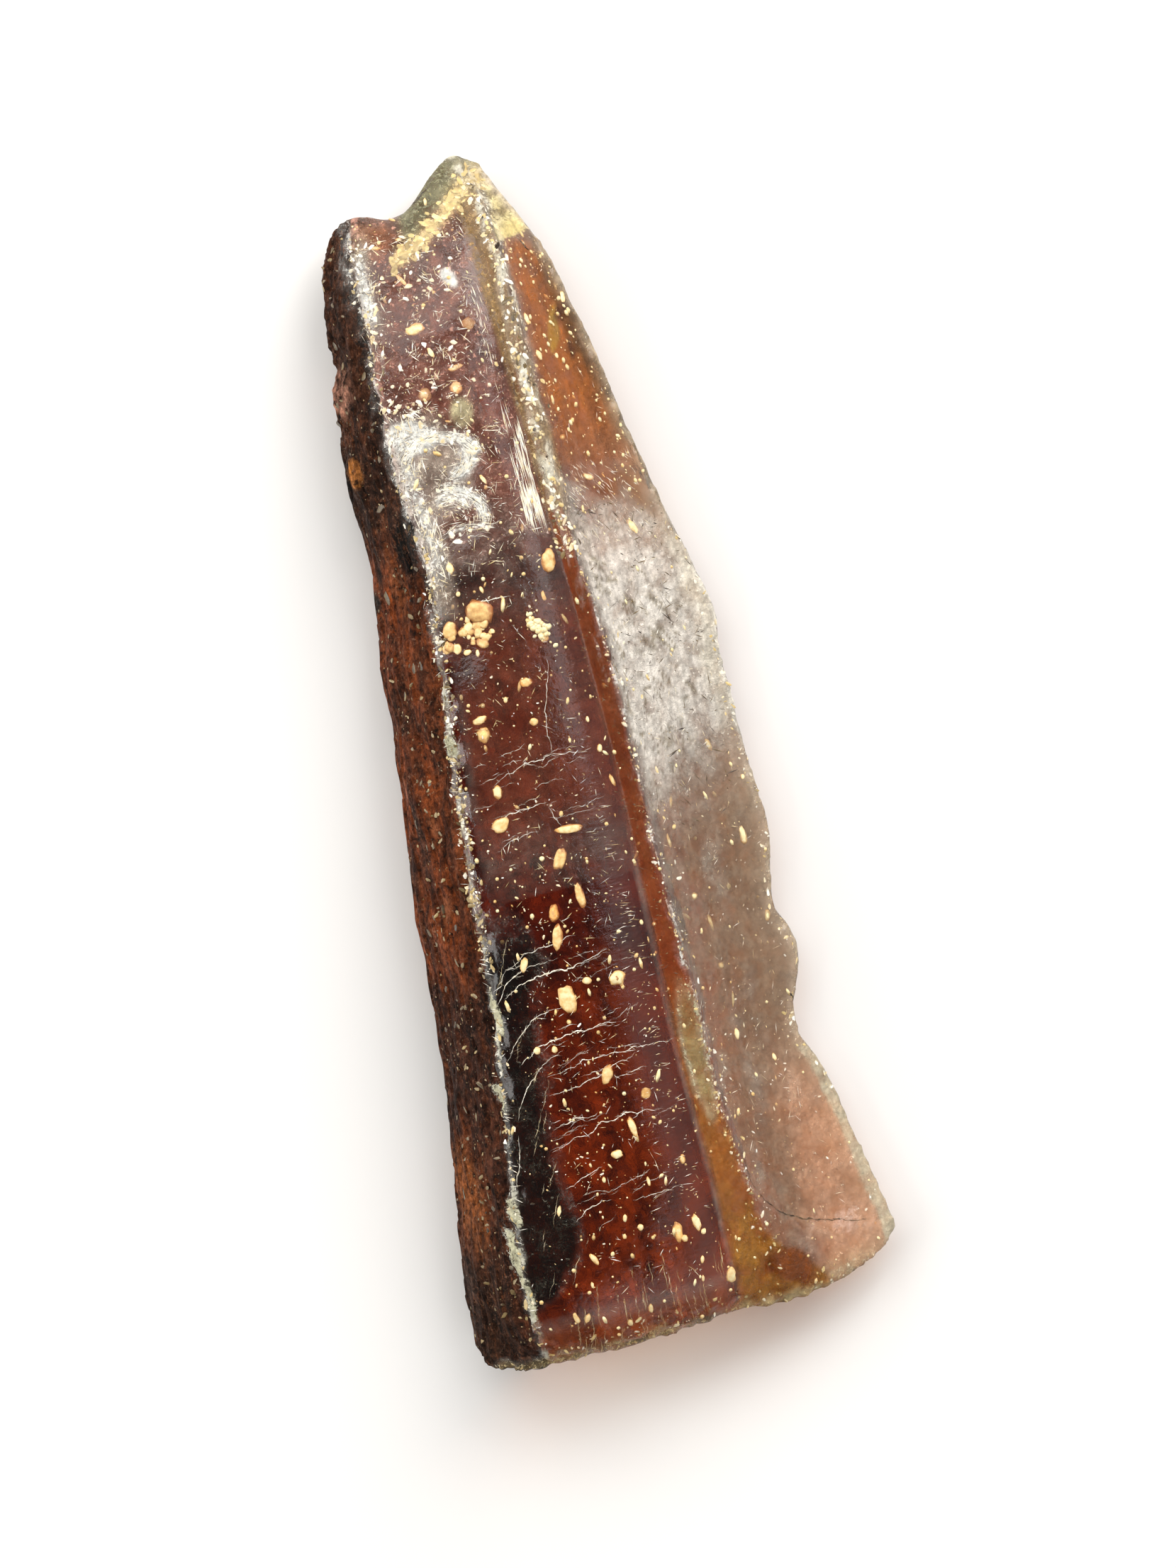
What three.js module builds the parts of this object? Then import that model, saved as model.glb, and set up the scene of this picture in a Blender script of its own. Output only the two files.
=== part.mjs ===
// A long shard of raw amber, lying on its flat back.
// Millimetres, +Z up. The pointed end is towards +Y, the broad broken end towards -Y, and the
// thin translucent wing towards +X. The origin is the middle of the shard's outline, on the
// plane that it rests on.
//
// The shard is one solid. Its surface is a sphere's grid of rows and columns laid over it: each
// column follows the shard's length, and the first and last rows close its two ends. Going round
// one section, the columns pass the weathered side wall, the glassy main face, the groove, the
// arris, the wing, its thin edge, and the underside.
import * as THREE from "three";
import { ImprovedNoise } from "three/addons/math/ImprovedNoise.js";

const { lerp, smoothstep, clamp } = THREE.MathUtils;

// ---- Driving dimensions -------------------------------------------------------------------
const LENGTH = 76.6; // tip to broken end
const WIDTH = 28.2; // across the widest part, at the broken end
const TIP_Y = LENGTH / 2;
const BROKEN_END_Y = -LENGTH / 2;
const WALL_X = -WIDTH / 2; // furthest reach of the side wall
const WING_X = WIDTH / 2; // furthest reach of the wing

const WING_EDGE = 1.1; // thickness of the wing where it ends
const WING_EDGE_LEAN = 0.12; // how far its thin edge leans in below
const ARRIS_LIP = 0.55; // drop of the wing just past the arris
const SCAR_STEP = 0.63; // ledge where the wing's long flake scar ends
const SCAR_STEP_START = -0.9; // the ledge rises from here
const SCAR_STEP_END = 1.7; // to here, counted past the scar's end
const WALL_BULGE = 0.35; // how far the side wall stands out between its edges
const WALL_LUMPS = 0.32; // unevenness of the side wall
const FACE_LUMPS = 0.1; // of the main face
const WING_LUMPS = 0.14; // of the wing
const UNDER_LUMPS = 0.12; // of the underside, beside the resting face
const END_ROLL_DROP = 0.7; // height lost where the top rolls over into the broken end
const END_ROLL_LENGTH = 1.9; // over this length
const TIP_LIFT = 0.17; // slope of the underside towards the tip
const END_LIFT = 0.34; // slope of the underside towards the broken end
const BROKEN_UNDERCUT = 0.9; // how far the broken end's thick part leans in below its top edge
const TIP_OVERHANG = 0.25; // how far the underside reaches past the top edge in the tip's bite
const FLAT_TOP_Y = 30.5; // the resting face ends here towards the tip
const FLAT_END_Y = -35.4; // and here towards the broken end

// ---- Curves -------------------------------------------------------------------------------
// A smooth function through a few points, each a place and its value, in order of place.
function through(...points) {
  const slope = points.map((point, i) => {
    const before = points[Math.max(i - 1, 0)];
    const after = points[Math.min(i + 1, points.length - 1)];
    return (after[1] - before[1]) / (after[0] - before[0]);
  });
  return (at) => {
    const place = clamp(at, points[0][0], points[points.length - 1][0]);
    let i = 0;
    while (i < points.length - 2 && place > points[i + 1][0]) i++;
    const [x0, y0] = points[i];
    const [x1, y1] = points[i + 1];
    const span = x1 - x0;
    const t = (place - x0) / span;
    const rest = 1 - t;
    return (
      y0 * rest * rest * (1 + 2 * t) +
      y1 * t * t * (3 - 2 * t) +
      span * t * rest * (slope[i] * rest - slope[i + 1] * t)
    );
  };
}

// Lines that run the length of the shard: x at each y, seen from above.
const wallFoot = through(
  [-36.2, WALL_X], [-34, -13.9], [-31, -13.65], [-27, -13.1], [-22, -12.3], [-17, -11.65],
  [-12, -11.3], [-8, -11.0], [-4, -10.55], [0, -10.0], [4, -9.6], [6.8, -9.55], [9, -9.15],
  [13, -8.65], [17, -8.55], [20, -8.75], [23, -8.2], [25.3, -8.0], [26.6, -7.55],
  [28.2, -7.8], [30.5, -7.4], [32.4, -6.85], [33.9, -6.3], [34.6, -5.9],
);
const leftRidge = through(
  [-38, -9.6], [-35, -10.0], [-31, -9.75], [-25, -8.9], [-19, -8.05], [-15, -7.5], [-9, -7.2],
  [-3, -6.7], [3, -6.0], [9, -5.35], [13, -4.85], [18, -5.25], [23, -5.3], [28, -4.9],
  [32, -4.9], [35.4, -4.4],
);
const groove = through(
  [-38, 3.3], [-30, 3.5], [-20, 3.3], [-12, 3.6], [0, 3.75], [10, 3.6], [20, 3.35], [28, 3.4],
  [33, 3.2], [TIP_Y, 2.6],
);
const arris = through(
  [-38, 5.5], [-31, 5.5], [-25, 4.9], [-19, 4.95], [-15, 4.9], [-8, 4.75], [0, 5.0], [6, 4.95],
  [12, 4.5], [18, 4.25], [25, 4.45], [30, 4.5], [34, 4.25], [TIP_Y, 3.3],
);
const wingTip = through(
  [-35.5, WING_X], [-33.6, 13.85], [-31, 13.35], [-28.5, 12.85], [-25.5, 12.35], [-23.5, 11.75],
  [-21.6, 10.95], [-20.4, 11.15], [-19.2, 11.4], [-17.8, 12.1], [-16.2, 12.4], [-14.8, 12.0],
  [-13.6, 11.5], [-12.0, 11.7], [-10, 12.15], [-8, 12.4], [-5, 12.2], [-1, 12.1], [1.4, 12.15],
  [3, 12.0], [5.4, 12.4], [8, 12.0], [11.5, 11.2], [15.2, 10.4], [19, 9.7], [23.4, 9.0],
  [25.8, 8.55], [27.0, 8.2], [29.8, 7.7], [31.9, 7.0], [34.9, 5.6], [36.2, 5.05], [37.4, 4.6],
);

// The two ends: y at each x, seen from above. The tip's end holds the bite beside it.
const tipEnd = through(
  [-6.0, 34.5], [-5.0, 35.3], [-4.2, 35.6], [-3.2, 35.5], [-2.3, 35.05], [-1.4, 34.95],
  [-0.5, 35.45], [0.5, 36.4], [1.6, 37.45], [2.4, 38.0], [3.0, TIP_Y], [3.7, 38.0], [4.7, 37.3],
);
const brokenEnd = through(
  [WALL_X, -36.2], [-13.6, -37.2], [-12.5, -37.9], [-11, BROKEN_END_Y], [-8.5, -38.2],
  [-5.5, BROKEN_END_Y], [0, -38.1], [3, -37.85], [5, -38.15], [7, -38.2], [9, -37.9],
  [11, -37.35], [12.6, -36.7], [13.6, -36.1], [WING_X, -35.5],
);
const scarEnd = through(
  [4.5, -27], [5.3, -29], [6, -31], [7, -32.4], [8.5, -33.4], [10, -33.9], [12, -34.4],
  [WING_X, -35.3],
);

// Heights along the shard: z at each y.
const footHeight = through(
  [-37, 2.6], [-28, 1.9], [-14, 2.3], [2, 2.7], [14, 2.1], [26, 2.4], [35, 2.9],
);
const ridgeHeight = through(
  [-38, 7.6], [-35, 8.6], [-28, 9.1], [-18, 9.3], [-8, 9.1], [2, 8.8], [12, 8.4], [22, 7.9],
  [30, 7.1], [33, 6.4], [35.6, 5.0],
);
const crownRise = through(
  [-38, 0.5], [-33, 0.95], [-20, 1.15], [0, 1.05], [14, 0.7], [26, 0.85], [33, 0.35], [37, 0.0],
);
const grooveHeight = through(
  [-38, 6.0], [-35, 6.9], [-28, 7.6], [-18, 8.1], [-6, 8.25], [8, 8.0], [20, 7.55], [28, 6.95],
  [33, 5.7], [36, 4.3], [TIP_Y, 2.9],
);
const arrisHeight = through(
  [-38, 5.0], [-34, 6.1], [-28, 7.3], [-18, 8.15], [-6, 8.55], [8, 8.4], [20, 8.15], [28, 7.6],
  [33, 6.2], [36, 4.4], [TIP_Y, 2.9],
);
const wingTipHeight = through(
  [-36, 2.1], [-28, 1.9], [-16, 1.95], [-4, 2.1], [8, 2.3], [18, 2.7], [28, 3.1], [34, 3.0],
  [38, 2.5],
);

// The resting face's two long sides: x at each y.
const flatLeft = through(
  [-38, -10.2], [-30, -10.6], [-18, -9.2], [-6, -8.0], [6, -7.4], [18, -6.2], [28, -5.6],
  [36, -3.6],
);
const flatRight = through(
  [-38, 9.5], [-30, 9.2], [-20, 7.0], [-8, 8.4], [4, 8.2], [14, 6.6], [24, 5.2], [31, 3.6],
  [38, 3.0],
);

// ---- Relief -------------------------------------------------------------------------------
const noise = new ImprovedNoise();

// Soft lumps: roughly -1 to 1, with a given size in mm along and across the shard.
function lumps(x, y, z, across, along) {
  return 1.6 * noise.noise(x / across + 5.2, y / along + 11.7, z / across + 2.9);
}

// 1 at a centre, falling to 0 at the rim of an oval.
function hollow(x, y, centreX, centreY, halfWidth, halfLength) {
  const away = Math.hypot((x - centreX) / halfWidth, (y - centreY) / halfLength);
  return 1 - smoothstep(away, 0, 1);
}

// How far below its smooth form the main face lies: shell-shaped hollows left by the break.
function mainFaceHollows(x, y) {
  const ripple = Math.cos(Math.hypot(x + 4.6, (y - 23) * 0.8) * 2.3);
  const shell = hollow(x, y, -2.4, 17.6, 3.6, 6.2);
  return (
    0.5 * shell +
    0.09 * ripple * shell +
    0.3 * hollow(x, y, -1.8, 29.2, 2.9, 2.6) +
    0.35 * hollow(x, y, -3.6, 7.4, 2.2, 3.4) +
    0.22 * hollow(x, y, 0.6, -31.6, 2.0, 2.2) +
    0.9 * hollow(x, y, -1.6, 35.6, 3.2, 3.4)
  );
}

// The chip that took a leaf-shaped bite out of the arris.
const arrisChip = (y) => 0.5 * hollow(0, y, 0, -21.3, 1, 4.2);

// ---- Sections -----------------------------------------------------------------------------
// The height lost where the top surface rolls over into the broken end.
function endRoll(x, y) {
  return END_ROLL_DROP * (1 - smoothstep(y - brokenEnd(x), 0, END_ROLL_LENGTH));
}

// The underside: flat where the shard rests, rising a little towards each end.
function undersideLift(y) {
  return TIP_LIFT * Math.max(y - FLAT_TOP_Y, 0) + END_LIFT * Math.max(FLAT_END_Y - y, 0);
}

// Each zone of a section lies between two lines. At a share w of its width it gives the point's
// x and z. tipX and endX are where the two lines meet the shard's ends. The zones with under
// set to 1 lie below the ends' top edges.
const ZONES = [
  // Side wall.
  {
    columns: 8,
    from: { line: wallFoot, tipX: -6.0, endX: WALL_X },
    to: { line: leftRidge, tipX: -4.3, endX: -9.8 },
    place(w, x, y) {
      const low = footHeight(y);
      const high = ridgeHeight(y) - endRoll(x, y);
      const open = Math.sin(Math.PI * w);
      return [
        x - open * (WALL_BULGE + WALL_LUMPS * lumps(0, y, 6 * w, 2.4, 4.2)),
        lerp(low, high, w ** 0.9) + 0.6 * WALL_LUMPS * open * lumps(x, y, 4, 2, 3.4),
      ];
    },
  },
  // Main face.
  {
    columns: 15,
    from: { line: leftRidge, tipX: -4.3, endX: -9.8 },
    to: { line: groove, tipX: 2.6, endX: 3.3 },
    place(w, x, y) {
      const arch = w < 0.5 ? 1 - (1 - 2 * w) ** 2 : 1 - (2 * w - 1) ** 4;
      const open = Math.min(1, 8 * w, 10 * (1 - w));
      const chord = lerp(ridgeHeight(y), grooveHeight(y), w);
      return [
        x,
        chord + crownRise(y) * arch - open * mainFaceHollows(x, y) - endRoll(x, y) +
          FACE_LUMPS * open * lumps(x, y, 0, 4.5, 8),
      ];
    },
  },
  // Groove's side, up to the arris.
  {
    columns: 2,
    from: { line: groove, tipX: 2.6, endX: 3.3 },
    to: { line: arris, tipX: 3.3, endX: 5.5 },
    place(w, x, y) {
      const high = lerp(grooveHeight(y), arrisHeight(y) - arrisChip(y), w);
      return [x, high - endRoll(x, y)];
    },
  },
  // Wing.
  {
    columns: 12,
    from: { line: arris, tipX: 3.3, endX: 5.5 },
    to: { line: wingTip, tipX: 4.7, endX: WING_X },
    place(w, x, y) {
      const low = wingTipHeight(y);
      const high = arrisHeight(y) - arrisChip(y) * (1 - w);
      const past = smoothstep(scarEnd(x) - y, SCAR_STEP_START, SCAR_STEP_END);
      const scar = (1 - past) * smoothstep(w, 0, 0.1) * (1 - w);
      const open = Math.min(1, 6 * w, 5 * (1 - w));
      return [
        x,
        lerp(low, high, (1 - w) ** 1.3) - ARRIS_LIP * scar + SCAR_STEP * past * open -
          endRoll(x, y) * (1 - w) + WING_LUMPS * open * lumps(x, y, 8, 3.6, 6),
      ];
    },
  },
  // Wing's thin edge.
  {
    columns: 2,
    from: { line: wingTip, tipX: 4.7, endX: WING_X },
    to: { line: wingTip, tipX: 4.7, endX: WING_X },
    place(w, x, y) {
      return [x - WING_EDGE_LEAN * w, wingTipHeight(y) - WING_EDGE * w];
    },
  },
  // Underside of the wing.
  {
    under: 1,
    columns: 7,
    from: { line: wingTip, tipX: 4.7, endX: WING_X },
    to: { line: flatRight, tipX: 3.0, endX: 9.5 },
    place(w, x, y) {
      const low = undersideLift(y);
      const high = Math.max(wingTipHeight(y) - WING_EDGE, low);
      const open = Math.min(w, 1 - w) * 2;
      const uneven = UNDER_LUMPS * open * (1 + lumps(x, y, 3, 3, 5));
      return [x - WING_EDGE_LEAN * (1 - w), lerp(low, high, (1 - w) ** 1.4) + uneven];
    },
  },
  // Resting face.
  {
    under: 1,
    columns: 6,
    from: { line: flatRight, tipX: 3.0, endX: 9.5 },
    to: { line: flatLeft, tipX: -3.6, endX: -10.2 },
    place(w, x, y) {
      return [x, undersideLift(y)];
    },
  },
  // Undercut of the side wall.
  {
    under: 1,
    columns: 5,
    from: { line: flatLeft, tipX: -3.6, endX: -10.2 },
    to: { line: wallFoot, tipX: -6.0, endX: WALL_X },
    place(w, x, y) {
      const open = Math.min(w, 1 - w) * 2;
      const uneven = UNDER_LUMPS * open * (1 + lumps(x, y, 5, 2.2, 3.8));
      return [
        x - 1.5 * UNDER_LUMPS * open * lumps(x, y, 9, 2.4, 3.6),
        lerp(undersideLift(y), footHeight(y), w ** 1.5) + uneven,
      ];
    },
  },
];

// A point on the shard's long surface: t runs from the broken end, 0, to the tip, 1.
function surfacePoint(zone, w, t) {
  const under = zone.under ?? 0;
  const nearX = lerp(zone.from.endX, zone.to.endX, w);
  const farX = lerp(zone.from.tipX, zone.to.tipX, w);
  const undercut = BROKEN_UNDERCUT * under * (1 - smoothstep(nearX, 2, 12));
  const overhang = TIP_OVERHANG * under * (1 - smoothstep(farX, 0.5, 2.2));
  const y = lerp(brokenEnd(nearX) + undercut, tipEnd(farX) + overhang, t);
  const straight = lerp(zone.from.line(y), zone.to.line(y), w);
  const [x, z] = zone.place(w, straight, y);
  return new THREE.Vector3(x, y, z);
}

// The columns of one section, in order round it.
const columns = ZONES.flatMap((zone) =>
  Array.from({ length: zone.columns }, (_, i) => ({ zone, w: i / zone.columns })),
);

// ---- Ends ---------------------------------------------------------------------------------
// The point at x on a run of rim points that goes from left to right.
function rimPoint(run, x) {
  const next = clamp(run.findIndex((point) => point.x > x), 1, run.length - 1);
  const [left, right] = [run[next - 1], run[next]];
  return left.clone().lerp(right, clamp((x - left.x) / (right.x - left.x), 0, 1));
}

// An end face closes the rim that the columns leave, drawing in to one point. Its hollow and
// its shell-shaped ripples run along the shard and fade out at the rim and where it is thin.
function endFace({ t, centre, strike, inward, hollowDepth, ripple, rippleRate }) {
  const rim = columns.map(({ zone, w }) => surfacePoint(zone, w, t));
  const turn = columns.findIndex(({ zone }) => zone.under > 0);
  const above = rim.slice(0, turn);
  const below = [...rim.slice(turn), rim[0]].reverse();
  return (column, share) => {
    const x = lerp(centre.x, rim[column].x, share);
    const z = lerp(centre.z, rim[column].z, share);
    const [top, foot] = [rimPoint(above, x), rimPoint(below, x)];
    const thickness = Math.max(top.z - foot.z, 0.01);
    const rise = clamp((z - foot.z) / thickness, 0, 1);
    const inside = 4 * rise * (1 - rise) * (1 - share ** 6) * smoothstep(thickness, 1.5, 6);
    const waves = Math.cos(Math.hypot(x - strike.x, z - strike.z) * rippleRate);
    const level = lerp(foot.y, top.y, smoothstep(rise, 0, 1));
    return new THREE.Vector3(x, level + inward * inside * (hollowDepth + ripple * waves), z);
  };
}

const tipFace = endFace({
  t: 1,
  centre: { x: -0.6, z: 2.6 },
  strike: { x: 3.0, z: 2.5 },
  inward: -1,
  hollowDepth: 0.2,
  ripple: 0.08,
  rippleRate: 2.4,
});
const brokenFace = endFace({
  t: 0,
  centre: { x: 1.4, z: 3.3 },
  strike: { x: -8.5, z: 8.6 },
  inward: 1,
  hollowDepth: 0.75,
  ripple: 0.2,
  rippleRate: 1.9,
});
const TIP_ROWS = 3;
const BROKEN_ROWS = 7;
const LONG_ROWS = 60;

// ---- The solid ----------------------------------------------------------------------------
function amberGeometry() {
  const rows = TIP_ROWS + LONG_ROWS + BROKEN_ROWS;
  const geometry = new THREE.SphereGeometry(1, columns.length, rows);
  const position = geometry.attributes.position;
  for (let i = 0; i < position.count; i++) {
    const column = (i % (columns.length + 1)) % columns.length;
    const row = Math.floor(i / (columns.length + 1));
    const { zone, w } = columns[column];
    let point;
    if (row < TIP_ROWS) point = tipFace(column, row / TIP_ROWS);
    else if (row > TIP_ROWS + LONG_ROWS) point = brokenFace(column, (rows - row) / BROKEN_ROWS);
    else point = surfacePoint(zone, w, 1 - (row - TIP_ROWS) / LONG_ROWS);
    position.setXYZ(i, point.x, point.y, point.z);
  }
  geometry.computeVertexNormals();
  return geometry;
}

const amber = new THREE.Mesh(
  amberGeometry(),
  new THREE.MeshStandardMaterial({ color: 0x6e3216, roughness: 0.22, metalness: 0 }),
);
amber.name = "raw_amber";

const part = new THREE.Group();
part.add(amber);

export default part;
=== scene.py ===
# %% [markdown]
# # A long shard of raw amber
# Raw amber is fossil resin. This shard split off a larger lump, so most of its faces are glassy
# breaks: a ridged top, a groove with an arris beside it, and a thin wing that lets light through.
# Only the steep left wall and the underside still have the lump's old skin, a dull fibrous rind.
# The shard is see-through, so its look comes from depth: light goes in at the glassy faces, is
# filtered by the resin, and meets the rind, flecks and cracks inside.
# The lesson goes from the fixed frame to the camera and light, then the solid, its finishes, and
# at last the small things in the resin.

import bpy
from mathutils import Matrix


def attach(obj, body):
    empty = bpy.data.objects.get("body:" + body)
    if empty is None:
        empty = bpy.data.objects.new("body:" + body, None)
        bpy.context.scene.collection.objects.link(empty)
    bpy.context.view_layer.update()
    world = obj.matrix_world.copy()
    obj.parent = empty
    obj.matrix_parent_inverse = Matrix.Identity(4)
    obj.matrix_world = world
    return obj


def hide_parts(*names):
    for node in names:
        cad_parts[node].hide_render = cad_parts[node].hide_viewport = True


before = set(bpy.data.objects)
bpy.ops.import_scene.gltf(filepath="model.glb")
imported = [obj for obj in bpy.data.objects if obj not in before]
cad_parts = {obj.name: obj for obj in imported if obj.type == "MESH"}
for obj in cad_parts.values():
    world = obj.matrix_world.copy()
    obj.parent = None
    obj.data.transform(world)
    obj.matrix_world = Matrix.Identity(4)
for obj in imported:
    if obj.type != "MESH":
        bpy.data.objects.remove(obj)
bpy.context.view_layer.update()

# %% [markdown]
# The other tools are imported once. Shapes are worked out in millimetres, because a shard this
# small has handy numbers there, and each finished mesh is brought to metres at the end.

# %% Tools and units
import functools
import itertools
import math
import random

import bmesh
import bpy
import numpy as np
from mathutils import Matrix, Vector
from mathutils.bvhtree import BVHTree

MM = 0.001
scene = bpy.context.scene
CAD_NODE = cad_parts["raw_amber"]


def new_object(name, data):
    """A new object in the scene, for a mesh, a lamp or a camera."""
    made = bpy.data.objects.new(name, data)
    scene.collection.objects.link(made)
    return made


print("points of the frame's solid:", len(CAD_NODE.data.vertices))

# %% [markdown]
# The shard lies flat, so the camera looks straight down at it from 0.3 m, turned by 14 degrees so
# that the shard leans across the frame. The lens is worked out from a real length: how much of
# the plane through the shard's middle fills the long side of the frame.

# %% Camera
CAMERA_HEIGHT = 300 * MM
CAMERA_OVER = (1.74 * MM, -3.06 * MM)
LEAN = math.radians(-14)
SHARD_MIDDLE = 3 * MM
FRAME_LENGTH = 100.545 * MM
SENSOR = 36


def look_down():
    data = bpy.data.cameras.new("camera")
    data.sensor_width = SENSOR
    data.lens = SENSOR * (CAMERA_HEIGHT - SHARD_MIDDLE) / FRAME_LENGTH
    data.clip_start = 10 * MM
    scene.camera = new_object("camera", data)
    scene.camera.location = (*CAMERA_OVER, CAMERA_HEIGHT)
    scene.camera.rotation_euler = (0, 0, LEAN)
    print("lens, mm:", round(data.lens, 1))


look_down()

# %% [markdown]
# A glossy dark stone mirrors every lamp, so all the lamps are wide and soft, and none hangs
# straight above, where its reflection would wash out the deep red. The strong ones stand aside of
# the directions that the wing and the groove mirror. Those get two faint lamps of their own, a
# wide one low on the right for a sheen, and a smaller one higher up for glints. One on the left
# lights the rind, and two more fill in from the ends. The floor is plain and pale.

# %% Floor
FLOOR_SIZE = 3.0
FLOOR_GAP = 0.02 * MM
FLOOR_COLOR = (0.86, 0.85, 0.83, 1)
FLOOR_ROUGHNESS = 0.9


def lay_floor():
    bm = bmesh.new()
    bmesh.ops.create_grid(bm, x_segments=1, y_segments=1, size=FLOOR_SIZE / 2)
    bmesh.ops.translate(bm, verts=bm.verts, vec=(0, 0, -FLOOR_GAP))
    mesh = bpy.data.meshes.new("floor")
    bm.to_mesh(mesh)
    bm.free()
    floor = new_object("floor", mesh)
    paper = bpy.data.materials.new("pale floor")
    paper.use_nodes = True
    surface = paper.node_tree.nodes["Principled BSDF"]
    surface.inputs["Base Color"].default_value = FLOOR_COLOR
    surface.inputs["Roughness"].default_value = FLOOR_ROUGHNESS
    mesh.materials.append(paper)


lay_floor()
print("floor, m:", FLOOR_SIZE)

# %% Light of the room
ROOM_COLOR = (0.95, 0.97, 1.0, 1)
ROOM_LIGHT = 0.10


def light_room():
    world = bpy.data.worlds.new("room")
    scene.world = world
    world.use_nodes = True
    sky = world.node_tree.nodes["Background"]
    sky.inputs["Color"].default_value = ROOM_COLOR
    sky.inputs["Strength"].default_value = ROOM_LIGHT


light_room()
scene.view_settings.view_transform = "Standard"
print("room light:", ROOM_LIGHT)

# %% Lamps
LAMPS = (
    # name, azimuth and elevation in degrees, distance and size in m, watts, colour
    ("window right", 46, 32, 0.6, 0.40, 3.5, (1.0, 0.97, 0.94)),
    ("window high right", 20, 62, 0.6, 0.22, 0.3, (0.96, 0.97, 1.0)),
    ("sheen right", -4, 28, 0.6, 0.55, 0.4, (0.95, 0.93, 0.98)),
    ("lamp left", 170, 27, 0.6, 0.45, 2.6, (1.0, 0.98, 0.95)),
    ("lamp behind", 105, 42, 0.7, 0.6, 3.3, (1.0, 0.98, 0.96)),
    ("lamp front", -60, 36, 0.7, 0.6, 1.0, (1.0, 0.98, 0.96)),
)


def hang_lamp(name, azimuth, elevation, distance, size, watts, color):
    """A square area lamp facing the shard. Azimuth 0 is over +X, and 90 over +Y."""
    data = bpy.data.lights.new(name, "AREA")
    data.size = size
    data.energy = watts
    data.color = color
    lamp = new_object(name, data)
    around, rise = math.radians(azimuth), math.radians(elevation)
    flat = Vector((math.cos(around), math.sin(around), 0)) * math.cos(rise)
    direction = flat + Vector((0, 0, math.sin(rise)))
    lamp.location = direction * distance
    lamp.rotation_euler = direction.to_track_quat("Z", "Y").to_euler()


for lamp_row in LAMPS:
    hang_lamp(*lamp_row)
print("lamps:", len(LAMPS))

# %% [markdown]
# The shard's features run along it, so a place on it is named by a few lines: x in millimetres at
# each y. They follow the same ridge, groove and arris as the solid. The long thin edge of the
# wing is measured on the frame itself. Three small helpers do the rest: a smooth ramp from 0 to 1,
# a bell that fades on both sides, and soft noise whose lumps have a size in millimetres.

# %% Lines and ramps
def line(*points):
    """x at each y, straight between a few (x, y) points that are listed up the shard."""
    xs, ys = zip(*points)
    return lambda y: np.interp(y, ys, xs)


def ramp(value, low, high):
    """0 at low and 1 at high, smooth between, whichever of the two is larger."""
    t = np.clip((value - low) / (high - low), 0, 1)
    return t * t * (3 - 2 * t)


def bell(value, width):
    """1 at 0, and about a third at width on either side."""
    return np.exp(-((value / width) ** 2))


# %% Soft noise
SLOPE_COUNT = 4096
SLOPES = np.random.default_rng(3).normal(size=(SLOPE_COUNT, 3))
SLOPES /= np.linalg.norm(SLOPES, axis=1)[:, None]
# Three large primes: each cell of the noise picks its slope by them.
SPREAD = (73856093, 19349663, 83492791)
NOISE_GAIN = 1.7


def grain(points, size, shift=0.0):
    """Soft gradient noise of about -1 to 1. size is a lump's width along x, y and z."""
    spots = points / np.array(size) + shift
    cell = np.floor(spots).astype(np.int64)
    inside = spots - cell
    ease = inside * inside * (3 - 2 * inside)
    total = np.zeros(len(points))
    for corner in itertools.product((0, 1), repeat=3):
        key = np.bitwise_xor.reduce((cell + corner) * SPREAD, axis=1) % SLOPE_COUNT
        share = np.where(corner, ease, 1 - ease).prod(axis=1)
        total += share * ((inside - corner) * SLOPES[key]).sum(axis=1)
    return NOISE_GAIN * total


print("slopes of the noise:", len(SLOPES))

# %% Lines on the shard
left_ridge = line(
    (-9.6, -38), (-10, -35), (-9.75, -31), (-8.9, -25), (-8.05, -19), (-7.5, -15), (-7.2, -9),
    (-6.7, -3), (-6.0, 3), (-5.35, 9), (-4.85, 13), (-5.25, 18), (-5.3, 23), (-4.9, 28),
    (-4.9, 32), (-4.4, 35.4),
)
groove = line((3.3, -38), (3.5, -30), (3.3, -20), (3.7, -5), (3.6, 10), (3.35, 20), (2.6, 38))
arris = line(
    (5.5, -38), (5.5, -31), (4.9, -25), (4.95, -19), (4.75, -8), (5.0, 0), (4.95, 6), (4.5, 12),
    (4.25, 18), (4.45, 25), (4.5, 30), (4.25, 34), (3.3, 38),
)
black_edge = line(
    (-9, -34.5), (-7.5, -33.5), (-6.2, -32), (-5.6, -30), (-6, -26), (-5.5, -21), (-5, -17),
    (-4.5, -15), (-3.8, -13), (-4.3, -11), (-5.6, -9),
)


def measure_wing(step=1.0, window=0.9):
    """The frame's furthest reach to the right at each y, from its points within a window of y."""
    verts = np.array([v.co for v in CAD_NODE.data.vertices]) / MM
    steps = np.arange(-37, 38, step)
    reach = [verts[abs(verts[:, 1] - y) < window, 0].max() for y in steps]
    return lambda y: np.interp(y, steps, reach)


wing_edge = measure_wing()
print("wing reaches, mm:", [round(float(wing_edge(y)), 1) for y in (-35, -20, 0, 20, 35)])

# %% [markdown]
# The solid from the frame has its main forms, but faces of a millimetre. A copy of it is welded,
# then remade on an even grid of 0.23 mm, fine enough to carry chips and fibres and still under
# 200,000 triangles. Sculpting by hand would do the same, but couldn't be repeated by a script.

# %% An even grid over the solid
GRID = 0.23
WELD = 0.001


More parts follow.
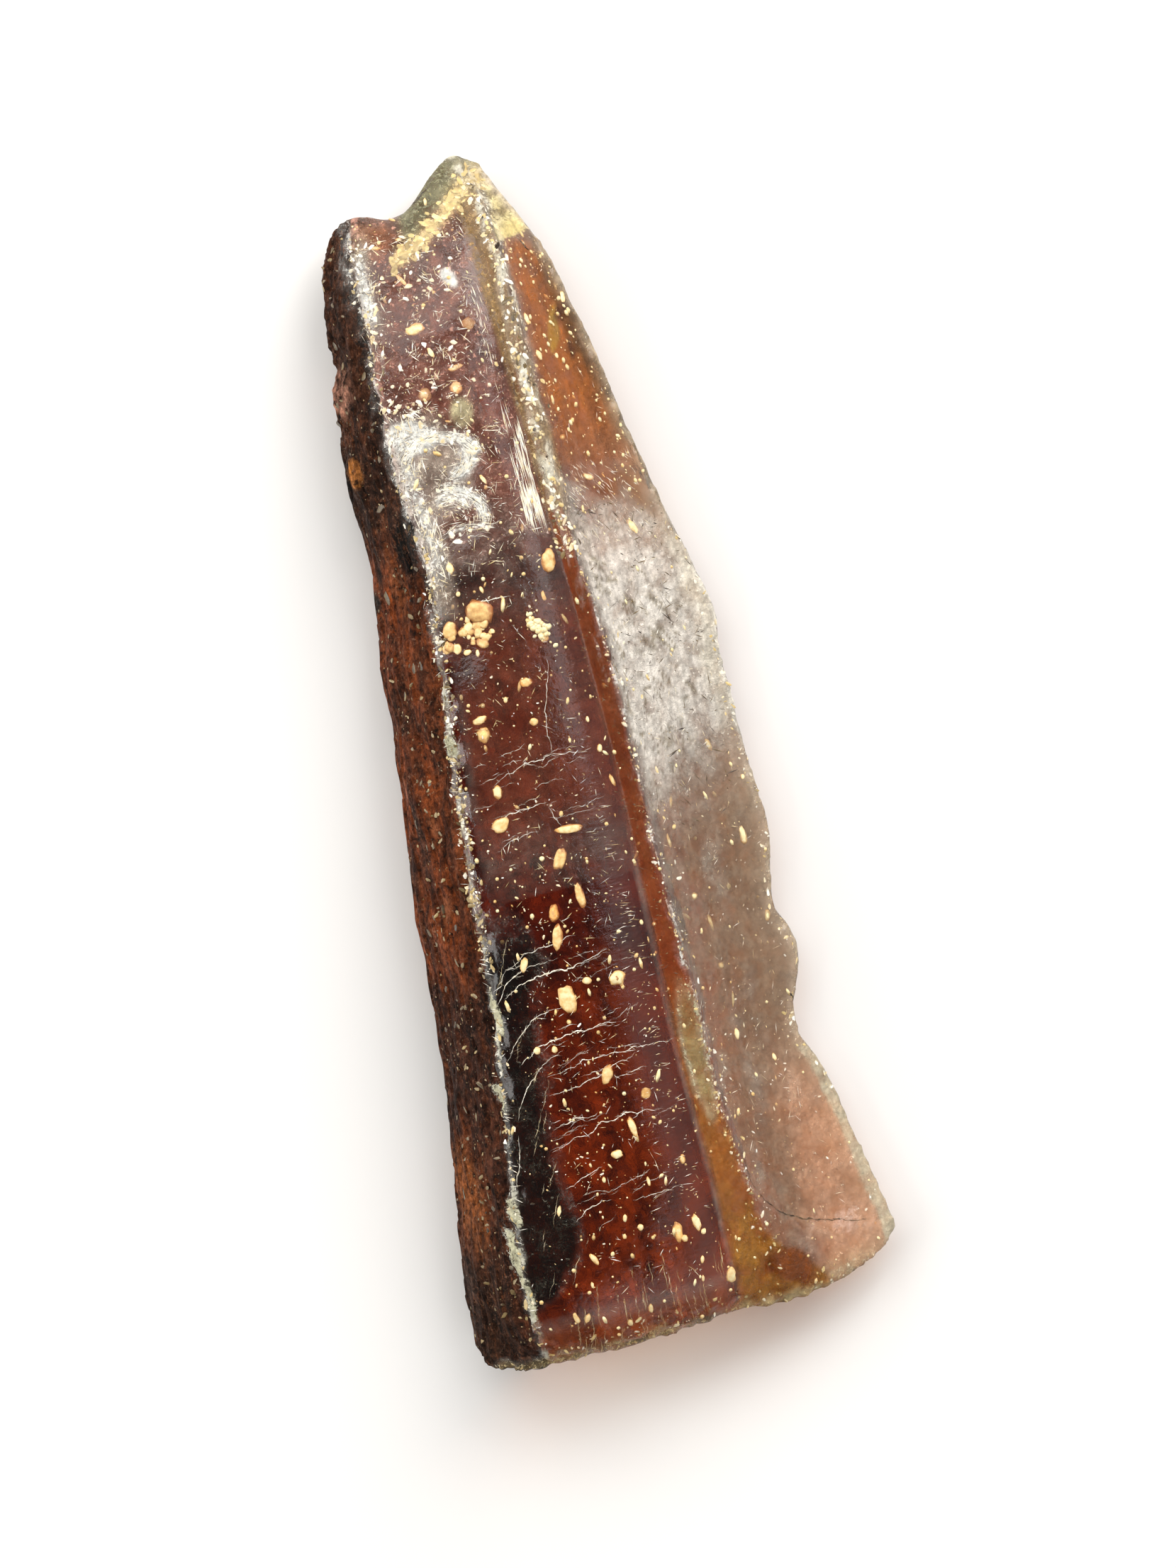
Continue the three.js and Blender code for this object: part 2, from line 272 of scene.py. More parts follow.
def even_copy(node, name, step):
    """A closed copy of a CAD node, in mm, with small even faces."""
    bm = bmesh.new()
    bm.from_mesh(node.data)
    bmesh.ops.scale(bm, vec=(1 / MM,) * 3, verts=bm.verts)
    bmesh.ops.remove_doubles(bm, verts=bm.verts, dist=WELD)
    mesh = bpy.data.meshes.new(name)
    bm.to_mesh(mesh)
    bm.free()
    rough = new_object(name + " rough", mesh)
    remesh = rough.modifiers.new("even grid", "REMESH")
    remesh.mode = "VOXEL"
    remesh.voxel_size = step
    graph = bpy.context.evaluated_depsgraph_get()
    shape = bpy.data.meshes.new_from_object(rough.evaluated_get(graph))
    shape.name = name
    bpy.data.objects.remove(rough)
    return new_object(name, shape)


amber = even_copy(CAD_NODE, "amber", GRID)
print("amber:", len(amber.data.vertices), "points,", len(amber.data.polygons), "faces")

# %% [markdown]
# The main face and the wing of a real shard are smooth breaks, so the creases between the
# solid's small faces are smoothed out there. The ridges between them have to stay sharp.

# %% Rounding the small creases
SMOOTHING_ROUNDS = 14


def places_of(mesh):
    """The places of a mesh's points and their outward directions, as arrays."""
    both = np.empty((2, len(mesh.vertices), 3), np.float32)
    mesh.vertices.foreach_get("co", both[0].ravel())
    mesh.vertices.foreach_get("normal", both[1].ravel())
    return both


def soften(mesh, rounds):
    """Smooths the main face and the wing, and leaves the ridges between them sharp."""
    (x, y, _), out = places_of(mesh)[0].T, places_of(mesh)[1]
    main = (x > left_ridge(y) + 0.7) & (x < groove(y) - 0.5)
    wing = (x > arris(y) + 0.8) & (x < wing_edge(y) - 0.8)
    inside = np.flatnonzero((main | wing) & (out[:, 2] > 0.3))
    bm = bmesh.new()
    bm.from_mesh(mesh)
    bm.verts.ensure_lookup_table()
    chosen = [bm.verts[i] for i in inside]
    for _ in range(rounds):
        bmesh.ops.smooth_vert(
            bm, verts=chosen, factor=0.5, use_axis_x=True, use_axis_y=True, use_axis_z=True
        )
    bm.to_mesh(mesh)
    bm.free()
    print("smoothed points:", len(chosen))


soften(amber.data, SMOOTHING_ROUNDS)

# %% Where each point of the shard lies
count = len(amber.data.vertices)
PLACE, OUT = places_of(amber.data)
X, Y, Z = PLACE.T
past_ridge = X - left_ridge(Y)
past_arris = X - arris(Y)
past_groove = X - groove(Y)
inside_wing = wing_edge(Y) - X
from_end = Y - PLACE[:, 1].min()
facing_up = ramp(OUT[:, 2], 0.1, 0.5)
facing_down = ramp(OUT[:, 2], -0.5, -0.9)
print("length, mm:", round(float(np.ptp(Y)), 1))

# %% [markdown]
# Now the relief. Each feature is a height in millimetres along the surface's own direction, and
# they are added up. The rind is fibrous: long grooves that follow the shard, with deeper cracks,
# and crumbly towards the tip. The two ridges are chipped, because an edge of brittle resin
# flakes. The main face has the curved ripples of a glassy break, the wing shallow dents, and the
# broken end is rough. The resting face stays flat.

# %% Relief of the rind, ridges and breaks
def fibres():
    """Long grooves and cracks of the old skin on the left wall, and crumbs near the tip."""
    along = grain(PLACE, (0.6, 5.0, 0.6))
    fine = grain(PLACE, (0.35, 2.4, 0.35), 7.0)
    crack = ramp(abs(grain(PLACE, (1.1, 4.5, 0.8), 3.0)), 0.09, 0.0)
    lump = grain(PLACE, (1.4, 2.6, 1.4), 5.0)
    crumb = grain(PLACE, (0.75, 0.9, 0.75), 13.0) + 0.5 * grain(PLACE, (0.4, 0.45, 0.4), 14.0)
    crumbly = ramp(Y + 2 * lump, 12, 24)
    return 0.10 * along + 0.06 * fine - 0.18 * crack + 0.14 * lump + 0.22 * crumbly * crumb


def chips(distance, width, depth, shift):
    """Flakes lost from a ridge, as deep hollows within a width of it."""
    near = bell(distance, width)
    flakes = ramp(grain(PLACE, (0.8, 1.3, 0.8), shift), -0.05, 0.35)
    small = grain(PLACE, (0.4, 0.55, 0.4), shift + 2)
    return -near * (depth * flakes + 0.45 * depth * small)


def shell_ripples():
    """Curved ripples of a glassy break, below the tip on the main face."""
    reach = np.hypot(X + 4.9, 0.8 * (Y - 24.5))
    fade = ramp(np.hypot(X + 2.4, 0.62 * (Y - 17.6)), 4.2, 1.5)
    waves = np.sin(reach * 3.4 + 1.3 * grain(PLACE, (2.0, 2.0, 2.0)))
    return 0.05 * waves * fade


# %% The whole relief
def relief():
    """Height in mm of every point, along its own direction."""
    rind = ramp(past_ridge, 0.25, -0.35)
    top = facing_up * ramp(past_ridge, -0.2, 0.6)
    wing = top * ramp(past_arris, 0.1, 0.8)
    upper = top * ramp(Y, 10, 20)
    end = ramp(from_end, 2.4, 0.6)
    rough_end = 0.16 * grain(PLACE, (0.7, 0.7, 0.7), 31.0)
    rough_end += 0.07 * grain(PLACE, (0.4, 0.4, 0.4), 33.0)
    height = rind * fibres()
    height += facing_up * chips(past_ridge, 0.55, 0.26, 1.0)
    height += facing_up * chips(past_arris, 0.4, 0.2, 9.0)
    height += ramp(OUT[:, 2], -0.2, 0.2) * chips(inside_wing, 0.5, 0.18, 15.0)
    height += top * ramp(past_groove, 0.2, -0.4) * shell_ripples()
    height += 0.03 * top * grain(PLACE, (1.6, 2.6, 1.6), 21.0)
    height += 0.025 * upper * grain(PLACE, (0.8, 0.8, 0.8), 22.0)
    height += 0.035 * wing * grain(PLACE, (0.9, 1.2, 0.9), 27.0)
    height += end * rough_end
    return height * (1 - facing_down)


def raise_relief():
    moved = PLACE + OUT * relief()[:, None]
    moved[:, 2] = np.maximum(moved[:, 2], 0)
    amber.data.vertices.foreach_set("co", moved.astype(np.float32).ravel())
    amber.data.update()
    print("relief, mm:", round(float(abs(moved - PLACE).max()), 2))


raise_relief()

# %% [markdown]
# Which parts are opaque? The old skin is, and the breaks are clear. They are two finishes on the
# one mesh, chosen face by face: the left wall down to the floor, and the underside as far as the
# thick body reaches. The wing has no skin under it, so light comes through it from the floor.

# %% Which faces are rind
under_rind = line((2.6, -38), (2.8, -20), (2.9, 0), (3.3, 12), (3.4, 24), (3.2, 38))
CLEAR, RIND = 0, 1


def rind_share():
    """Above 0.5 where a point has the old skin."""
    ragged = 0.22 * grain(PLACE, (0.5, 0.7, 0.5), 51.0)
    wall = ramp(past_ridge + ragged, 0.1, -0.1)
    under = ramp(OUT[:, 2], -0.3, -0.6) * ramp(under_rind(Y) + 2 * ragged - X, -0.1, 0.1)
    # The low edge of the tip is old skin too.
    bite = ramp(Y, 34.2, 34.6) * ramp(Z, 1.7, 1.3) * ramp(X, 2.4, 1.8)
    return np.maximum(np.maximum(wall, under), bite)


def sort_faces(piece, share):
    """Gives each face the finish that most of its corners ask for, and prints how much is rind."""
    corners = np.empty(len(piece.data.loops), np.int32)
    piece.data.loops.foreach_get("vertex_index", corners)
    starts = np.empty(len(piece.data.polygons), np.int32)
    piece.data.polygons.foreach_get("loop_start", starts)
    mean = np.add.reduceat(share[corners], starts) / np.diff(np.append(starts, len(corners)))
    kinds = np.where(mean > 0.5, RIND, CLEAR).astype(np.int32)
    piece.data.polygons.foreach_set("material_index", kinds)
    areas = np.empty(len(starts), np.float32)
    normals = np.empty((len(starts), 3), np.float32)
    piece.data.polygons.foreach_get("area", areas)
    piece.data.polygons.foreach_get("normal", normals.ravel())
    clear = kinds == CLEAR
    lean = np.linalg.norm((normals * areas[:, None])[clear].sum(0)) / areas[clear].sum()
    print("rind faces:", int((~clear).sum()), "clear lean:", round(float(lean), 3))


sort_faces(amber, rind_share())

# %% [markdown]
# The resin isn't one colour. Its stain is worked out for each point, as colours laid over each
# other by soft masks: smoke under the left ridge, honey in the upper wing, grey smoke in the
# lower wing, deep orange at the broken corner. The old skin is painted in the same way. Noise
# moves every border, because a stain in resin has no straight edges.

# %% Masks
wobble = 0.35 * grain(PLACE, (1.4, 1.8, 1.4), 41.0)
ragged_small = grain(PLACE, (0.5, 0.7, 0.5), 43.0)
on_wing = ramp(past_arris + 0.4 * wobble, 0.0, 0.6)
band_edge = past_arris + 0.9 * wobble + 0.15 * ragged_small
on_band = ramp(past_groove, -0.5, 0.1) * ramp(band_edge, 0.3, -0.2)
on_main = ramp(past_groove, 0.3, -0.3) * ramp(past_ridge, -0.2, 0.2)


def spot(x, y, across, along, turn=0.0):
    """1 inside an oval patch and 0 outside it, soft at its rim."""
    c, s = math.cos(turn), math.sin(turn)
    u = ((X - x) * c + (Y - y) * s + 0.5 * wobble) / across
    v = ((Y - y) * c - (X - x) * s + 0.8 * wobble) / along
    return ramp(np.hypot(u, v), 1.25, 0.75)


def between(value, low, high, soft):
    """1 from low to high and 0 outside, soft at both ends."""
    return ramp(value, low - soft, low + soft) * ramp(value, high + soft, high - soft)


def up(low, high, waver=2.0):
    """A ramp along the shard, from y low to y high, with a border that wavers."""
    return ramp(Y + waver * wobble, low, high)


def stretch(low, high, soft):
    """1 along a stretch of the shard, with borders that waver."""
    return between(Y + 2.0 * wobble, low, high, soft)


def shares(*masks):
    """How much of the shard each mask covers, for a cell to print."""
    return [round(float(mask.clip(0, 1).mean()), 3) for mask in masks]


print("wing, band and main face:", shares(on_wing, on_band, on_main))


# %% Paint
def paint(ground, *layers):
    """Colours for all points: a ground, then each layer's colour where its mask is 1."""
    colors = np.tile(np.array(ground, float), (count, 1))
    for mask, color in layers:
        colors += mask[:, None] * (np.array(color) - colors)
    return colors


def mean_color(colors):
    """The mean of the colours of all points, for a cell to print."""
    return [round(float(part), 2) for part in colors.mean(0)]


def store(mesh, name, values):
    """Numbers or colours for all points, as an attribute that a finish can read."""
    if values.ndim == 1:
        numbers = mesh.attributes.new(name, "FLOAT", "POINT")
        numbers.data.foreach_set("value", values.astype(np.float32))
        return
    rgba = np.ones((len(values), 4), np.float32)
    rgba[:, :3] = values
    mesh.attributes.new(name, "FLOAT_COLOR", "POINT").data.foreach_set("color", rgba.ravel())


# %% Stain of the clear resin
def smoke():
    """The black smoke beside the left ridge, and a small puff further up."""
    edge = ramp(black_edge(Y) - X + 1.3 * wobble + 0.3 * ragged_small, -0.6, 0.6)
    low = edge * up(-8.0, -12.5, 1) * ramp(Y, -35.2, -34)
    puff = 0.9 * np.exp(-(0.7 * (X + 4.1) ** 2 + 0.5 * (Y - 5.6) ** 2))
    return np.maximum(low, puff)


low_band = on_band * up(-14, -22, 1)
wedge_edge = line((9.4, -38.5), (8.8, -37), (6.2, -34.0), (5.6, -32), (5.0, -28))
wedge = ramp(past_groove, -0.1, 0.3) * ramp(wedge_edge(Y) + wobble - X, -0.3, 0.3)
wedge *= ramp(Y, -28, -33)
low_right_wing = on_wing * ramp(Y, -20, -27) * ramp(X + 0.5 * wobble, 7, 10)
corner = spot(7.0, -35.8, 1.7, 1.2, -0.4)
STAIN = paint(
    (0.93, 0.84, 0.70),
    (on_main * up(10, 18), (0.92, 0.80, 0.76)),
    (on_wing * up(17.0, 11.0), (0.78, 0.70, 0.61)),
    (low_right_wing, (0.93, 0.76, 0.60)),
    (on_wing * stretch(15, 33, 1.5), (0.90, 0.68, 0.47)),
    (on_wing * spot(9.0, 24, 1.0, 6.0, 0.18), (0.80, 0.62, 0.40)),
    (on_band * ramp(Y, 17, 13), (0.78, 0.50, 0.36)),
    (low_band, (0.92, 0.74, 0.50)),
    (on_band * ramp(Y, 15, 21), (0.68, 0.50, 0.28)),
    (ramp(Y - 0.55 * X + wobble, 34.0, 35.2), (0.84, 0.83, 0.62)),
    (wedge, (0.80, 0.50, 0.14)),
    (corner, (0.55, 0.22, 0.02)),
    (smoke(), (0.012, 0.012, 0.008)),
)
store(amber.data, "stain", STAIN)
print("mean stain:", mean_color(STAIN))

# %% Haze of the clear resin
# Where the break is ribbed and dull: beside the groove, at the broken end and along the ridges.
haze_band = on_main * ramp(past_groove, -5.6, -1.6) * ramp(past_groove, 0.1, -1.0)
haze_band *= ramp(Y, 9, -4)
edges = np.maximum(bell(past_ridge, 0.5), bell(past_arris, 0.5))
haze = np.maximum.reduce([
    haze_band * ramp(Y, 16, -12), 0.5 * ramp(from_end, 5.5, 2.0), 1.2 * edges,
])
store(amber.data, "haze", haze)
print("hazy share:", shares(haze))

# %% [markdown]
# The old skin is brown, but not evenly: black where it is weathered, ochre or rust where it is
# worn, and darker towards both ends and on the ridge. Below, it is painted lighter and warmer as
# painted light, a glow of the light that comes up through the resin. It is painted like the stain,
# so that each patch lies where it should.

# %% Paint of the old skin
down_face = ramp(OUT[:, 2], -0.8, -0.96)
dark_end = up(16, 24, 3)
near_ridge = bell(past_ridge, 1.1) * (1 - down_face)
light_lumps = ramp(grain(PLACE, (1.2, 2.4, 1.2), 67.0), 0.3, 0.8) * between(Y, -12, 8, 3)
SKIN_PAINT = paint(
    (0.165, 0.041, 0.010),
    (up(-11, -18), (0.078, 0.024, 0.009)),
    (ramp(grain(PLACE, (1.6, 3.0, 1.6), 61.0), -0.2, 0.5), (0.058, 0.018, 0.007)),
    (light_lumps, (0.240, 0.085, 0.035)),
    (stretch(-21.5, -14.5, 1.5), (0.040, 0.013, 0.006)),
    (dark_end, (0.046, 0.018, 0.009)),
    (stretch(14.5, 22, 1.5), (0.024, 0.009, 0.004)),
    (up(-28, -33), (0.032, 0.014, 0.007)),
    (spot(-7.9, 27.6, 0.45, 0.9), (0.008, 0.006, 0.004)),
    (spot(-8.4, 19.4, 0.25, 0.5), (0.008, 0.006, 0.004)),
    (spot(-7.6, 25.2, 0.7, 1.6), (0.32, 0.17, 0.12)),
    (spot(-7.9, 19.6, 0.5, 0.8), (0.48, 0.20, 0.05)),
    (spot(-6.9, 12.6, 0.5, 3.4), (0.17, 0.055, 0.020)),
    (spot(-11.9, -27.0, 0.9, 3.6), (0.22, 0.075, 0.022)),
    (near_ridge * up(-11, -15, 1), (0.040, 0.013, 0.006)),
    (near_ridge * between(Y, -10, 11, 2), (0.130, 0.037, 0.012)),
    (near_ridge * ramp(Y, 12, 16), (0.036, 0.015, 0.008)),
    (spot(-5.8, 14.3, 0.6, 1.8), (0.005, 0.004, 0.003)),
    (spot(-8.7, 11.6, 0.4, 0.9), (0.010, 0.008, 0.006)),
    # Painted light: the underside is painted lighter and warmer, a glow of the light that comes up
    # through the resin.
    (down_face * ramp(Y, 8, 16), (0.36, 0.17, 0.12)),
    (down_face * between(Y, -12, 10, 2.5), (0.42, 0.16, 0.05)),
    (down_face * up(-11, -17), (0.60, 0.30, 0.07)),
)
store(amber.data, "skin paint", SKIN_PAINT)
print("mean skin:", mean_color(SKIN_PAINT))

# %% [markdown]
# Finishes are node trees. A few helpers keep them readable: they add a node with its inputs set
# or linked by name, give the place in millimetres, and rescale or mix values. Patterns that more
# than one finish uses are shader node groups, built once: grain that runs along the shard, and
# short strokes that lie in all directions like fine scratches.

# %% Helpers for finishes: nodes
def feed(tree, node, inputs):
    """Gives a node its inputs. Each is a plain value, or another node's output to link."""
    for name, value in inputs.items():
        if isinstance(value, bpy.types.NodeSocket):
            tree.links.new(value, node.inputs[name])
        else:
            node.inputs[name].default_value = value


def add(tree, kind, inputs=None, **settings):
    """A new node, with its settings and inputs."""
    made = tree.nodes.new(kind)
    for name, value in settings.items():
        setattr(made, name, value)
    feed(tree, made, inputs or {})
    return made


# %% Helpers for finishes: places and patterns
def place_in_mm(tree):
    """The place on the object in mm, as a vector."""
    where = add(tree, "ShaderNodeTexCoord").outputs["Object"]
    return add(tree, "ShaderNodeMapping", {"Vector": where, "Scale": (1000, 1000, 1000)}).outputs[0]


def stored(tree, name, output="Fac"):
    return add(tree, "ShaderNodeAttribute", attribute_name=name).outputs[output]


def clouds(tree, place, size, detail=3.0, roughness=0.5):
    """Cloudy noise around 0.5, with lumps of a size in mm."""
    inputs = {"Vector": place, "Scale": 1 / size, "Detail": detail, "Roughness": roughness}
    return add(tree, "ShaderNodeTexNoise", inputs).outputs[0]


# %% Helpers for finishes: values and colours
def rescale(tree, value, low, high, to_low=0.0, to_high=1.0):
    """A value taken from one range to another, and kept in it."""
    ends = {"From Min": low, "From Max": high, "To Min": to_low, "To Max": to_high}
    return add(tree, "ShaderNodeMapRange", {"Value": value, **ends}).outputs[0]


def maths(tree, operation, a, b=0.0):
    return add(tree, "ShaderNodeMath", {0: a, 1: b}, operation=operation).outputs[0]


def times(tree, *values):
    """The product of two or more values."""
    return functools.reduce(lambda a, b: maths(tree, "MULTIPLY", a, b), values)


def blend(tree, share, under, over, how="MIX"):
    """Colour over laid on colour under, by a share."""
    sockets = {0: share, 6: under, 7: over}
    return add(tree, "ShaderNodeMix", sockets, data_type="RGBA", blend_type=how).outputs[2]


def tinted(tree, color, by):
    """A colour multiplied by another colour or value."""
    return blend(tree, 1.0, color, by, "MULTIPLY")


def bump(tree, height, distance, strength=1.0):
    """Fine relief that is as deep as distance, in mm."""
    inputs = {"Height": height, "Distance": distance * MM, "Strength": strength}
    return add(tree, "ShaderNodeBump", inputs).outputs[0]


# %% Helpers for finishes: groups and materials
def new_group(name, inputs, output):
    """A new shader node group: itself, what it is given, and the one number it puts out."""
    group = bpy.data.node_groups.new(name, "ShaderNodeTree")
    for label, kind in inputs:
        group.interface.new_socket(label, in_out="INPUT", socket_type="NodeSocket" + kind)
    group.interface.new_socket(output, in_out="OUTPUT", socket_type="NodeSocketFloat")
    given = group.nodes.new("NodeGroupInput").outputs
    return group, given, group.nodes.new("NodeGroupOutput").inputs


def use(tree, group, inputs):
    return add(tree, "ShaderNodeGroup", inputs, node_tree=group).outputs[0]


def new_finish(name):
    """A new material with its node tree and its Principled shader."""
    material = bpy.data.materials.new(name)
    material.use_nodes = True
    return material, material.node_tree, material.node_tree.nodes["Principled BSDF"]


# %% Group: grain that runs along the shard
def make_streaks():
    """Long soft streaks. Thickness and Length are in mm."""
    group, given, out = new_group(
        "streaks",
        [("Place", "Vector"), ("Thickness", "Float"), ("Length", "Float"), ("Roughness", "Float")],
        "Streaks",
    )
    across = maths(group, "DIVIDE", 1.0, given["Thickness"])
    along = maths(group, "DIVIDE", 1.0, given["Length"])
    scale = add(group, "ShaderNodeCombineXYZ", {"X": across, "Y": along, "Z": across}).outputs[0]
    ends = {0: given["Place"], 1: scale}
    pattern = add(group, "ShaderNodeVectorMath", ends, operation="MULTIPLY")
    streaks = clouds(group, pattern.outputs[0], 1.0, 4.0, given["Roughness"])
    group.links.new(streaks, out["Streaks"])
    return group


STREAKS = make_streaks()
print("streaks:", len(STREAKS.nodes), "nodes")


# %% Group: short strokes in all directions
def make_strokes():
    """Thin straight marks, one in each cell of Spacing mm, turned at random."""
    group, given, out = new_group(
        "strokes",
        [("Place", "Vector"), ("Spacing", "Float"), ("Width", "Float"), ("Share", "Float")],
        "Strokes",
    )
    scale = maths(group, "DIVIDE", 1.0, given["Spacing"])
    inputs = {"Vector": given["Place"], "Scale": scale, "Randomness": 1.0}
    cell = add(group, "ShaderNodeTexVoronoi", inputs, voronoi_dimensions="2D")
    ends = {0: given["Place"], 1: cell.outputs["Position"]}
    away = add(group, "ShaderNodeVectorMath", ends, operation="SUBTRACT").outputs[0]
    luck = add(group, "ShaderNodeSeparateColor", {"Color": cell.outputs["Color"]}).outputs
    turn = {"Vector": away, "Angle": times(group, luck[0], 2 * math.pi)}
    turned = add(group, "ShaderNodeVectorRotate", turn, rotation_type="Z_AXIS").outputs[0]
    axes = add(group, "ShaderNodeSeparateXYZ", {0: turned}).outputs
    thin = maths(group, "LESS_THAN", maths(group, "ABSOLUTE", axes["Y"]), given["Width"])
    reach = times(group, luck[1], 0.5, given["Spacing"])
    short = maths(group, "LESS_THAN", maths(group, "ABSOLUTE", axes["X"]), reach)
    kept = maths(group, "LESS_THAN", luck[2], given["Share"])
    group.links.new(times(group, thin, short, kept), out["Strokes"])
    return group


STROKES = make_strokes()
print("strokes:", len(STROKES.nodes), "nodes")

# %% [markdown]
# Clear resin is glass with a colour in its depth: full transmission, amber's refractive index of
# 1.54, and a plain volume that takes out blue, then green, then red. A thin wing stays pale and
# the thick body turns deep red by itself. The stain tints what passes the surface. Light from
# the lamps would be stopped by a bending surface, so for shadow rays the surface turns into plain
# tinted film, which lets it reach the rind and the floor.

# %% Finish: clear amber
REFRACTION = 1.54
DEPTH_COLOR = (0.82, 0.47, 0.10, 1)
DEPTH_DENSITY = 170
MOTTLE = (0.70, 1.02)
GLOSS = (0.05, 0.2)
HAZE_ROUGHNESS = 0.3
BREAK_RELIEF = 0.03


def make_clear_amber():
    material, tree, surface = new_finish("clear amber")
    place = place_in_mm(tree)
    lumps = clouds(tree, place, 1.6, 5.0, 0.6)
    mottle = rescale(tree, lumps, 0.35, 0.65, *MOTTLE)
    tint = tinted(tree, stored(tree, "stain", "Color"), mottle)
    fine = clouds(tree, place, 0.35, 4.0)
    strokes = use(tree, STROKES, {"Place": place, "Spacing": 0.9, "Width": 0.02, "Share": 0.8})
    haze = stored(tree, "haze")
    ribs = use(tree, STREAKS, {"Place": place, "Thickness": 1.1, "Length": 0.15, "Roughness": 0.5})
    height = maths(tree, "SUBTRACT", fine, times(tree, strokes, 0.5))
    height = maths(tree, "ADD", height, times(tree, ribs, haze))
    dull = times(tree, haze, HAZE_ROUGHNESS)
    roughness = maths(tree, "MAXIMUM", rescale(tree, lumps, 0.35, 0.7, *GLOSS), dull)
    feed(tree, surface, {
        "Base Color": tint, "Roughness": roughness, "Normal": bump(tree, height, BREAK_RELIEF),
        "IOR": REFRACTION, "Transmission Weight": 1.0,
    })
    film = add(tree, "ShaderNodeBsdfTransparent", {"Color": tint})
    lamp_ray = add(tree, "ShaderNodeLightPath").outputs["Is Shadow Ray"]
    either = {0: lamp_ray, 1: surface.outputs[0], 2: film.outputs[0]}
    mixed = add(tree, "ShaderNodeMixShader", either)
    filtering = {"Color": DEPTH_COLOR, "Density": DEPTH_DENSITY}
    depth = add(tree, "ShaderNodeVolumeAbsorption", filtering)
    output = {"Surface": mixed.outputs[0], "Volume": depth.outputs[0]}
    feed(tree, tree.nodes["Material Output"], output)
    return material


CLEAR_AMBER = make_clear_amber()
print("clear amber:", len(CLEAR_AMBER.node_tree.nodes), "nodes")

# %% [markdown]
# The rind is the lump's old skin: dull, fibrous and dark brown, with lighter worn fibres and
# black weathered crumbs. Its streaks run along the shard, so the shared grain is used twice, once
# wide, to make the paint dim or bright, and once fine, for worn fibres and the relief. A little
# chalky dust lies on what is worn. A flat brown would look like painted clay.

# %% Finish: rind
DIM, BRIGHT = (0.32, 0.27, 0.25, 1), (1.5, 1.32, 1.22, 1)
WORN = (0.30, 0.10, 0.038, 1)
WEATHERED = (0.009, 0.006, 0.004, 1)
CHALK = (0.46, 0.24, 0.15, 1)
RIND_RELIEF = 0.34
RIND_SHINE = 0.08


def make_rind():
    material, tree, surface = new_finish("rind")
    place = place_in_mm(tree)
    wide = use(tree, STREAKS, {"Place": place, "Thickness": 0.9, "Length": 4.0, "Roughness": 0.7})
    fine = use(tree, STREAKS, {"Place": place, "Thickness": 0.2, "Length": 0.6, "Roughness": 0.8})
    crumbs = clouds(tree, place, 0.5, 6.0, 0.75)
    patches = clouds(tree, place, 2.4, 4.0, 0.6)
    color = stored(tree, "skin paint", "Color")
    color = tinted(tree, color, blend(tree, rescale(tree, wide, 0.38, 0.6), DIM, BRIGHT))
    bare = rescale(tree, patches, 0.35, 0.65, 0.1, 0.8)
    color = blend(tree, times(tree, rescale(tree, fine, 0.52, 0.72), bare), color, WORN)
    color = blend(tree, rescale(tree, crumbs, 0.52, 0.62, 0.0, 0.9), color, WEATHERED)
    color = tinted(tree, color, rescale(tree, crumbs, 0.36, 0.5, 1.9, 0.9))
    chalk = rescale(tree, clouds(tree, place, 0.3, 5.0, 0.7), 0.56, 0.66, 0.0, 0.5)
    color = blend(tree, times(tree, chalk, bare), color, CHALK)
    height = maths(tree, "ADD", times(tree, fine, 0.6), crumbs)
    feed(tree, surface, {
        "Base Color": color, "Roughness": rescale(tree, crumbs, 0.35, 0.65, 0.35, 0.8),
        "Normal": bump(tree, height, RIND_RELIEF), "Specular IOR Level": RIND_SHINE,
    })
    return material


amber.data.materials.append(CLEAR_AMBER)
amber.data.materials.append(make_rind())
print("finishes on the amber:", [finish.name for finish in amber.data.materials])

# %% [markdown]
# Brittle resin bruises where it is knocked or rubbed: its surface crazes into tiny flakes that
# scatter light, pale along the chipped ridges and cream at the tip. The ridges carry painted
# glints as well. The silver on the wing, the arcs in the hollow below the tip and the strips
# beside the ridge are painted sheen and painted reflections, pale colour where a glassy face
# would mirror a lamp. The veil on the upper face is partly painted sheen, and a pinkish veil on
# the middle of the main face is painted sheen. This skin is its own thin piece, a copy of the top
# of the shard that lies a hundredth of a millimetre proud of it. Its finish is see-through except
# where two masks say so: cover makes a patchy crust, and film a soft veil. A scuffed glass can't
# be had from roughness alone, because crazing scatters light like a powder. The masks come
# first, by place, and then the colours.

# %% Painted glints and sheen on the shard's top
def arc(x, y, across, along, start, stop, width, soft=12):
    """A curved stroke: part of an oval's rim, between two angles in degrees."""
    u, v = (X - x + 0.25 * wobble) / across, (Y - y + 0.25 * wobble) / along
    angle = np.degrees(np.arctan2(v, u))
    return bell(np.hypot(u, v) - 1, 1.3 * width) * between(angle, start, stop, soft)


